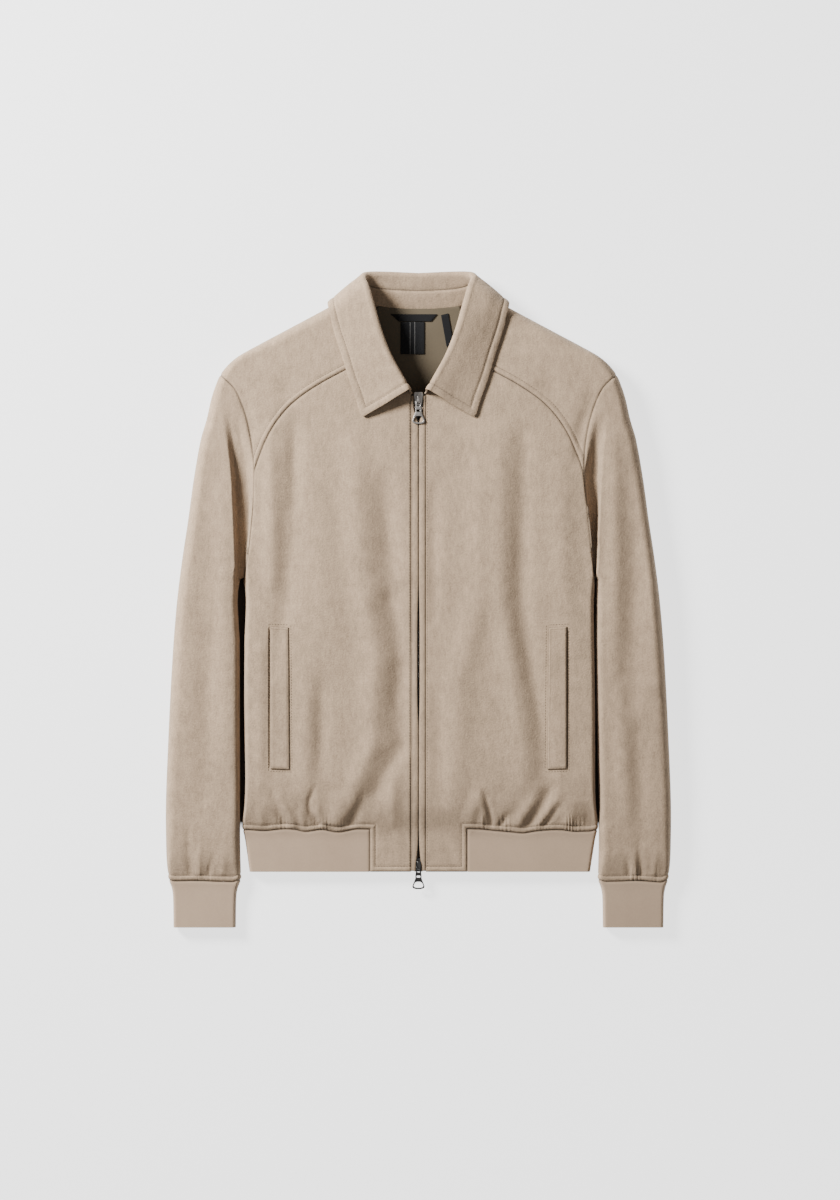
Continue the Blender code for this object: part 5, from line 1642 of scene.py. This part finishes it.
def make_leaf(leaf, normals):
    down = lengths_along(leaf, 1)
    across = lengths_along(leaf, 0)
    edge = np.minimum(down[:, -1:] - down, np.minimum(across, across[-1:] - across))
    inside = np.clip(edge / COLLAR_STITCH_INSET, 0, 1)
    puff = LEAF_PUFF * np.sin(np.pi * inside**LEAF_PUFF_POWER) * (edge < COLLAR_STITCH_INSET)
    relief = puff - dip(edge - COLLAR_STITCH_INSET, LEAF_STITCH_DIP) - dip(down, LEAF_ROLL_DIP)
    points = leaf + normals * (COLLAR_WALL / 2 + relief[..., None])
    stitch = np.abs(edge - COLLAR_STITCH_INSET)
    # the seam distance here runs from the roll line, so the material paints shade along the
    # collar's roll
    panel = (points, normals, np.minimum(down, FAR), stitch)
    made = cloth("collar_leaf_cloth", panel, COLLAR_WALL, SUEDE, round_rim=LEAF_RIM)
    thread = stitches("collar_stitching", collar_stitch_rows(points, normals, edge))
    declare(made, "collar_leaf", [thread])


def collar_stitch_rows(points, normals, edge):
    """Stitches round the leaf: up the left front, along the edge, down the right front."""
    half = edge.shape[1] // 2
    low = half + np.argmin(np.abs(edge[:, half:] - COLLAR_STITCH_INSET), axis=1)
    first = np.argmax(lengths_along(points, 0)[:, low[len(low) // 2]] >= COLLAR_STITCH_INSET)
    last = len(points) - 1 - first
    rows = np.arange(first, last + 1)
    start = STAND_ROWS + 6
    left, right = (
        (points[k, start : low[k] + 1], normals[k, start : low[k] + 1]) for k in (first, last)
    )
    return [left, (points[rows, low[rows]], normals[rows, low[rows]]), right]


# ---------------------------------------------------------------- zip, welts, lining and labels


def eased_table(rows, y, reach=4.0):
    """The one column of a table at y, eased over its corners."""
    shifts = np.linspace(-reach, reach, 5)
    return np.mean([columns_at(rows, y + shift)[0] for shift in shifts], axis=0)


def strip_ys():
    return STRIP_BOTTOM_Y + ticks(STRIP_TOP_Y - STRIP_BOTTOM_Y, 3.0, NO_TICKS, NO_TICKS)


def make_edge_strips():
    ys = strip_ys()
    shares = np.array(STRIP_SHARES)
    width = EDGE_STRIP_X - (eased_table(STRIP_SLIT, ys) - STRIP_ROLL)[:, None]
    plan = plan_rows(EDGE_STRIP_X - shares[None] * width, ys)
    relief = STRIP_PUFF * np.sin(np.pi * shares) ** STRIP_PUFF_POWER - STRIP_DIP
    outer_seam = shares[None] * width
    seam = np.minimum(outer_seam, (1 - shares[None]) * width + STRIP_INNER_CLEAR)
    stitch = np.abs(outer_seam - STRIP_STITCH_INSET)
    thread_x = EDGE_STRIP_X + STRIP_THREAD_INSET
    path = [(thread_x, STRIP_BOTTOM_Y + 1), (thread_x, STRIP_TOP_Y - 4)]
    for side, sign in SIDES:
        points, normals = layer(mirrored(plan, sign), "top")
        panel = (points + relief[None, :, None] * normals, normals, seam, stitch)
        rows = [plan_row(path, sign, "top", FRONT_FINISH)]
        name = f"edge_strip_{side}"
        sewn(name, panel, rows, (0.012, 0.565), "back_panel", round_rim=STRIP_RIM)


def tape_inner(ys):
    return TAPE_CLOSED + TAPE_SPREAD * (eased_table(STRIP_SLIT, ys) - STRIP_OPEN)


def plain_panel(points, normals):
    """A panel with no seam or stitches near it."""
    far = np.full(points.shape[:2], FAR)
    return points, normals, far, far


def make_tapes():
    ys = strip_ys()
    width = TAPE_OUTER_X - tape_inner(ys)[:, None]
    plan = plan_rows(TAPE_OUTER_X - np.linspace(0, 1, 5)[None] * width, ys)
    drop = (SUEDE_WALL + eased_table(TAPE_DROPS, ys))[:, None, None]
    for side, sign in SIDES:
        points, normals = layer(mirrored(plan, sign), "top")
        panel = plain_panel(points - drop * normals, normals)
        made = cloth(f"zip_tape_{side}_weave", panel, TAPE_WALL, TAPE)
        teeth = make_teeth(f"zip_teeth_{side}", sign)
        declare(made, f"zip_tape_{side}")
        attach(teeth, "garment")


TOOTH_PITCH = 2.7
TOOTH_SIZE = (3.4, 1.15, 1.5)
TOOTH_OUT = 0.5
TOOTH_EDGE = 0.28
TEETH_ENDS = (2, 8)  # from the strips' bottom and top ends


def ease_edges(made, edges, amount, segments=3):
    options = {"profile": 0.5, "affect": "EDGES", "material": -1}
    bmesh.ops.bevel(made, geom=list(edges), offset=amount, segments=segments, **options)


def add_block(made, size, centre, edge, segments=3):
    place = Matrix.Translation(centre) @ Matrix.Diagonal((*size, 1.0))
    cube = bmesh.ops.create_cube(made, size=1.0, matrix=place)
    edges = {near for vert in cube["verts"] for near in vert.link_edges}
    ease_edges(made, edges, edge, segments)


def make_teeth(name, sign):
    """Metal teeth clamped on a tape's edge, each between two of the other tape."""
    made = bmesh.new()
    shift = 0.0 if sign > 0 else TOOTH_PITCH / 2
    low, high = STRIP_BOTTOM_Y + TEETH_ENDS[0] + shift, STRIP_TOP_Y - TEETH_ENDS[1]
    ys = np.arange(low, high, TOOTH_PITCH)
    drop = SUEDE_WALL + eased_table(TAPE_DROPS, ys) + TAPE_WALL / 2
    for x, y, down in zip(tape_inner(ys), ys, drop):
        point, normal = layer([(sign * x, y)], "top")
        centre = Vector(point[0] - down * normal[0]) + Vector((sign * TOOTH_OUT, 0, 0))
        add_block(made, TOOTH_SIZE, centre, TOOTH_EDGE, segments=1)
    return link(name, mesh_from(name, made), GUNMETAL)


WELT_TOP = ((152.0, -32.4), (173.5, -31.3))
WELT_BOTTOM = ((150.9, -199.4), (173.5, -198.4))
WELT_SIZE = (22.0, 167.0)
WELT_RIM_DIP = 0.9
WELT_STITCH_INSET = 2.6


def make_welts():
    """A stitched strip on each front, its outer long side open as the pocket's mouth."""
    up = shares_of(WELT_SIZE[1], CLOTH_STEP, SEAM_TICKS, SEAM_TICKS)
    across = shares_of(WELT_SIZE[0], 2.4, SEAM_TICKS, SEAM_TICKS)
    top, bottom = np.array(WELT_TOP), np.array(WELT_BOTTOM)
    ends = bottom[None] + up[:, None, None] * (top - bottom)[None]
    plan = ends[:, None, 0] + across[None, :, None] * (ends[:, None, 1] - ends[:, None, 0])
    corners = np.array([top[0], bottom[0], bottom[1], top[1], top[0]])
    middle = corners[:4].mean(axis=0)
    path = middle + (corners - middle) * (1 + 2 * WELT_STITCH_INSET / np.array(WELT_SIZE))
    for side, sign in SIDES:
        points, normals, _, _ = dressed(mirrored(plan, sign), "top", FRONT_FINISH)
        down, over = lengths_along(points, 0), lengths_along(points, 1)
        from_ends = np.minimum(down, down[-1:] - down)
        seam = np.minimum(from_ends, np.minimum(over, over[:, -1:] - over))
        relief = SUEDE_WALL + SEAM_GAP - dip(seam, WELT_RIM_DIP, 1.0)
        stitch = np.abs(np.minimum(over, from_ends) - WELT_STITCH_INSET)
        panel = (points + relief[..., None] * normals, normals, seam, stitch)
        rows = [plan_row(path[k : k + 2], sign, "top", FRONT_FINISH) for k in range(4)]
        name = f"pocket_welt_{side}"
        sewn(name, panel, rows, (0.026, 0.17), f"front_{side}", round_rim=STRIP_RIM)


LINING_UNDER = 12.0  # how far the lining runs under the front's neck edge
LINING_NECK_START = (49.0, 200.0)
LINING_HALF_WIDTHS = ((300.0, 70.0), (330.0, 66.0), (338.0, 52.0))  # y, half width
LINING_TOP_HALF_WIDTH = 48.0


def inside_back(plan, clear, thickness):
    """Points and upward normals of a piece that lies on the inside of the back."""
    points, normals = layer(plan, "bottom")
    return points - (SUEDE_WALL + clear + thickness) * normals, -normals


def make_lining():
    box = np.array(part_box("back_lining")) / MM
    low, high = box.min(axis=0), box.max(axis=0)
    ys = np.linspace(low[1], high[1], 56)
    neck = points_at_y(np.vstack([YOKE_NECK_LINE, [LINING_NECK_START]]), ys)[:, 0]
    limits = columns_at([*LINING_HALF_WIDTHS, (high[1], LINING_TOP_HALF_WIDTH)], ys)[0]
    half = np.minimum(np.minimum(high[0], neck + LINING_UNDER), limits)
    plan = plan_rows(np.linspace(-1, 1, 48)[None] * half[:, None], ys)
    panel = plain_panel(*inside_back(plan, SEAM_GAP, LINING_WALL))
    made = cloth("back_lining_cloth", panel, LINING_WALL, LINING)
    declare(made, "back_lining")


def make_label(name, corners, material, cells=12):
    low_left, low_right, high_left, high_right = (np.array(corner) for corner in corners)
    up = np.linspace(0, 1, cells + 1)[:, None, None]
    over = np.linspace(0, 1, cells + 1)[None, :, None]
    low = (1 - over) * low_left + over * low_right
    high = (1 - over) * high_left + over * high_right
    plan = (1 - up) * low + up * high
    panel = plain_panel(*inside_back(plan, 2 * SEAM_GAP + LINING_WALL, LABEL_WALL))
    made = cloth(f"{name}_cloth", panel, LABEL_WALL, material, round_rim=LABEL_RIM)
    declare(made, name)


def make_labels():
    make_label("neck_label", NECK_LABEL_CORNERS, WOVEN)
    make_label("hanger_tab", HANGER_TAB_CORNERS, TAB_CLOTH)
    make_label("side_tag", SIDE_TAG_CORNERS, WOVEN)


# ---------------------------------------------------------------- sliders and pull tabs

TOP_SLIDER_Y = 235.0
BOTTOM_SLIDER_Y = -312.2
TOP_PULL_DROOP = math.radians(1)
BOTTOM_PULL_DROOP = math.radians(12)
TAPE_CLEARANCE = 0.4
SLIDER_HALF_OUTLINE = ((3.8, -8.0), (4.6, -2.0), (5.6, 5.0), (5.0, 8.0))  # half width, y
SLIDER_PLATE = 1.6
SLIDER_EDGE = 0.5
STEM_SIZE = (2.6, 5.0)
BRIDGE_WIDTH = 3.0
BRIDGE_LEG = 1.5
BRIDGE_TOP = 1.3
BRIDGE_HOLE = (8.4, 2.9)
BRIDGE_ROUND = 0.55  # 1 would be an ellipse, 0 a square arch
BRIDGE_EDGE = 0.35
STEM_EDGE = 0.3
SLIDER_CORNERS = 0.35
PULL_CORNERS = 0.42
RIM_ANGLE = 1.0
SHARP_ANGLE = math.radians(50)
PULL_SETBACK = 2.7
PULL_AXIS_RISE = 2.2
PULL_HALF_PLATE = 0.8
PULL_EDGE = 0.25
PULL_OUTLINE = (
    # half width, distance down from the axis
    (3.0, -0.8),
    (3.3, 6.4),
    (3.7, 9.0),
    (3.7, 13.5),
    (5.0, 17.0),
    (7.2, 22.8),
    (7.2, 24.0),
    (6.4, 25.4),
    (3.4, 26.6),
)
PULL_WINDOWS = (
    ((1.9, 0.8), (1.9, 6.2)),
    ((2.2, 10.0), (2.2, 12.6)),
    ((3.6, 17.6), (5.6, 22.4), (5.2, 23.8), (2.6, 24.9)),
)


def eased_corners(corners, amount, steps=4):
    """A closed outline with each corner rounded over a share of the sides beside it."""
    corners = [np.array(corner, float) for corner in corners]
    points = []
    for k, corner in enumerate(corners):
        sides = [corners[k - 1] - corner, corners[(k + 1) % len(corners)] - corner]
        reach = min(amount * np.linalg.norm(side) for side in sides)
        start, end = (corner + reach * side / np.linalg.norm(side) for side in sides)
        for t in np.linspace(0, 1, steps):
            points.append((1 - t) ** 2 * start + 2 * t * (1 - t) * corner + t**2 * end)
    return points


def both_sides(half):
    """An outline given as half widths and distances, closed over both sides."""
    return [*half, *((-x, y) for x, y in half[::-1])]


def thicken(made, faces, move):
    """Extrudes flat faces into a solid; returns the corners of its far side."""
    raised = bmesh.ops.extrude_face_region(made, geom=faces)["geom"]
    lifted = [part for part in raised if isinstance(part, bmesh.types.BMVert)]
    bmesh.ops.translate(made, vec=move, verts=lifted)
    return lifted


def finish_rims(made, own, edge):
    """Turns a solid's faces outwards and eases its sharp edges."""
    faces = {face for vert in own for face in vert.link_faces}
    bmesh.ops.recalc_face_normals(made, faces=list(faces))
    edges = {near for vert in own for near in vert.link_edges}
    ease_edges(made, [near for near in edges if near.calc_face_angle(0) > RIM_ANGLE], edge)


def add_plate(made, outline, windows, low, high, edge):
    """A plate between two heights, its windows left open and its edges eased."""
    before = set(made.verts)
    for loop in (outline, *windows):
        corners = [made.verts.new((x, y, low)) for x, y in loop]
        for start, end in zip(corners, corners[1:] + corners[:1]):
            made.edges.new((start, end))
    own = [vert for vert in made.verts if vert not in before]
    edges = list({near for vert in own for near in vert.link_edges})
    filled = bmesh.ops.triangle_fill(made, use_beauty=True, edges=edges, normal=(0, 0, 1))["geom"]
    faces = [part for part in filled if isinstance(part, bmesh.types.BMFace)]
    thicken(made, faces, (0, 0, high - low))
    finish_rims(made, [vert for vert in made.verts if vert not in before], edge)


def add_bridge(made, low, hole_top, top):
    """An arch over the slider's back, which the pull tab's bar runs under."""
    half = BRIDGE_HOLE[0] / 2
    turns = np.linspace(0, np.pi, 15)
    rings = []
    for reach, height in ((half + BRIDGE_LEG, top - low), (half, hole_top - low)):
        across = np.sign(np.cos(turns)) * np.abs(np.cos(turns)) ** BRIDGE_ROUND * reach
        up = np.abs(np.sin(turns)) ** BRIDGE_ROUND * height
        points = [Vector((-BRIDGE_WIDTH / 2, y, low + z)) for y, z in zip(across, up)]
        rings.append([made.verts.new(point) for point in points])
    outer, inner = rings
    faces = [
        made.faces.new((outer[k], outer[k + 1], inner[k + 1], inner[k]))
        for k in range(len(turns) - 1)
    ]
    lifted = thicken(made, faces, (BRIDGE_WIDTH, 0, 0))
    finish_rims(made, [*outer, *inner, *lifted], BRIDGE_EDGE)


def finish_metal(name, made, place, body, node_name):
    bmesh.ops.transform(made, matrix=place, verts=made.verts)
    mesh = mesh_from(name, made)
    mesh.set_sharp_from_angle(angle=SHARP_ANGLE)
    # the top slider and pull get the lighter copy of the gunmetal as painted light
    piece = link(name, mesh, GUNMETAL_PAINTED_LIGHT if node_name.endswith("top") else GUNMETAL)
    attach(piece, body)
    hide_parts(node_name)


def make_slider(name, y, turn):
    """Two plates, the stem between them and the bridge; returns the pull tab's axis."""
    low = TAPE_CLEARANCE - SUEDE_WALL - columns_at(TAPE_DROPS, y)[0]
    top = low + SLIDER_PLATE
    under = low - TAPE_WALL - 2 * TAPE_CLEARANCE
    axis = top + PULL_AXIS_RISE
    corners = [(x, turn * along) for x, along in both_sides(SLIDER_HALF_OUTLINE)]
    outline = eased_corners(corners, SLIDER_CORNERS)
    made = bmesh.new()
    add_plate(made, outline, (), low, top, SLIDER_EDGE)
    add_plate(made, outline, (), under - SLIDER_PLATE, under, SLIDER_EDGE)
    stem_centre = (0, 0, (top + under - SLIDER_PLATE) / 2)
    add_block(made, (*STEM_SIZE, top - under), stem_centre, STEM_EDGE)
    hole_top = axis + BRIDGE_HOLE[1] / 2
    add_bridge(made, top - SLIDER_PLATE / 2, hole_top, hole_top + BRIDGE_TOP)
    height = layer([(0.0, y)], "top")[0][0, 2]
    finish_metal(f"{name}_body", made, Matrix.Translation((0, y, height)), "garment", name)
    return y - PULL_SETBACK, height + axis


def make_pull(name, body, y, height, droop):
    """A flat tab whose top bar is its axis, with a window for the bridge and two more."""
    loops = []
    for half in (PULL_OUTLINE, *PULL_WINDOWS):
        corners = [(x, -down) for x, down in both_sides(half)]
        loops.append(eased_corners(corners, PULL_CORNERS))
    made = bmesh.new()
    add_plate(made, loops[0], loops[1:], -PULL_HALF_PLATE, PULL_HALF_PLATE, PULL_EDGE)
    place = Matrix.Translation((0, y, height)) @ Matrix.Rotation(droop, 4, "X")
    finish_metal(f"{name}_tab", made, place, body, name)


# ---------------------------------------------------------------- stage, light and camera


VIEW_HEIGHT = 1.416
CAMERA_HEIGHT = 4.0
CAMERA_PLACE = (0.0018, -0.0006)
SENSOR_HEIGHT = 24.0
FLOOR_GLOW = 2.1
WORLD_GLOW = 0.26
# the slots beside the body, where the floor is painted dark brown as shade and does not glow
SLOT_MIDDLE_Y = -0.09
SLOT_HALF_WIDTHS = (0.014, 0.024)  # where the glow starts and where it is full
SLOT_HALF_LENGTHS = (0.172, 0.182)


def far_from(tree, value, spot, span):
    """0 near a spot and 1 beyond it, eased over the span of distances."""
    away = math_node(tree, "ABSOLUTE", minus(tree, value, spot))
    return node(tree, "ShaderNodeMapRange", in_0=away, in_1=span[0], in_2=span[1]).outputs[0]


def make_stage():
    """A pale floor that glows as over a light table; in the slots beside the body it does not glow
    and is painted dark brown as shade.
    """
    made = bmesh.new()
    bmesh.ops.create_grid(made, x_segments=1, y_segments=1, size=3.0)
    mesh = bpy.data.meshes.new("floor")
    made.to_mesh(mesh)
    made.free()
    material, tree, shader = new_material("pale_floor_painted_slot_shade", 0.9)
    set_shader(shader, Specular_IOR_Level=0.1, Emission_Color=(1, 1, 1, 1))
    place = node(tree, "ShaderNodeSeparateXYZ", in_0=object_place(tree))
    half = math_node(tree, "ABSOLUTE", place.outputs[0])
    beside = far_from(tree, half, CENTRE_GAP_X * MM, SLOT_HALF_WIDTHS)
    beyond = far_from(tree, place.outputs[1], SLOT_MIDDLE_Y, SLOT_HALF_LENGTHS)
    glow_off_painted_slots = math_node(tree, "MAXIMUM", beside, beyond)
    tree.links.new(times(tree, glow_off_painted_slots, FLOOR_GLOW), shader.inputs["Emission Strength"])
    # painted shade: the slots beside the body get a dark brown floor colour instead of the pale one
    colour = mix_colour(tree, glow_off_painted_slots, (0.07, 0.055, 0.045), (0.36, 0.36, 0.36))
    set_colour(tree, shader, colour)
    link("floor", mesh, material)


def add_light(name, place, target, size, power):
    lamp = bpy.data.lights.new(name, "AREA")
    lamp.shape = "DISK"
    lamp.size = size
    lamp.energy = power
    made = bpy.data.objects.new(name, lamp)
    made.location = place
    made.rotation_euler = (Vector(target) - Vector(place)).to_track_quat("-Z", "Y").to_euler()
    bpy.context.scene.collection.objects.link(made)


def make_lights():
    world = bpy.data.worlds.new("studio")
    world.use_nodes = True
    background = world.node_tree.nodes["Background"]
    background.inputs["Color"].default_value = (1, 1, 1, 1)
    background.inputs["Strength"].default_value = WORLD_GLOW
    bpy.context.scene.world = world
    add_light("key", (-1.75, 1.25, 1.36), (-0.02, 0, 0), size=0.8, power=262.0)
    add_light("fill", (0.9, -0.6, 2.6), (0, 0, 0), size=2.0, power=6.0)


def make_camera():
    camera = bpy.data.cameras.new("front_camera")
    camera.type = "PERSP"
    camera.sensor_fit = "VERTICAL"
    camera.sensor_height = SENSOR_HEIGHT
    camera.lens = SENSOR_HEIGHT * CAMERA_HEIGHT / VIEW_HEIGHT
    made = bpy.data.objects.new("front_camera", camera)
    made.location = (*CAMERA_PLACE, CAMERA_HEIGHT)
    bpy.context.scene.collection.objects.link(made)
    bpy.context.scene.camera = made


make_stage()
make_fronts()
make_yokes()
make_sleeves()
make_cuffs()
make_back()
make_hem_rib()
make_collar()
make_edge_strips()
make_tapes()
make_welts()
make_lining()
make_labels()
top_axis = make_slider("slider_top", TOP_SLIDER_Y, 1)
make_pull("pull_top", "top_pull", *top_axis, TOP_PULL_DROOP)
bottom_axis = make_slider("slider_bottom", BOTTOM_SLIDER_Y, -1)
make_pull("pull_bottom", "bottom_pull", *bottom_axis, BOTTOM_PULL_DROOP)
make_lights()
make_camera()
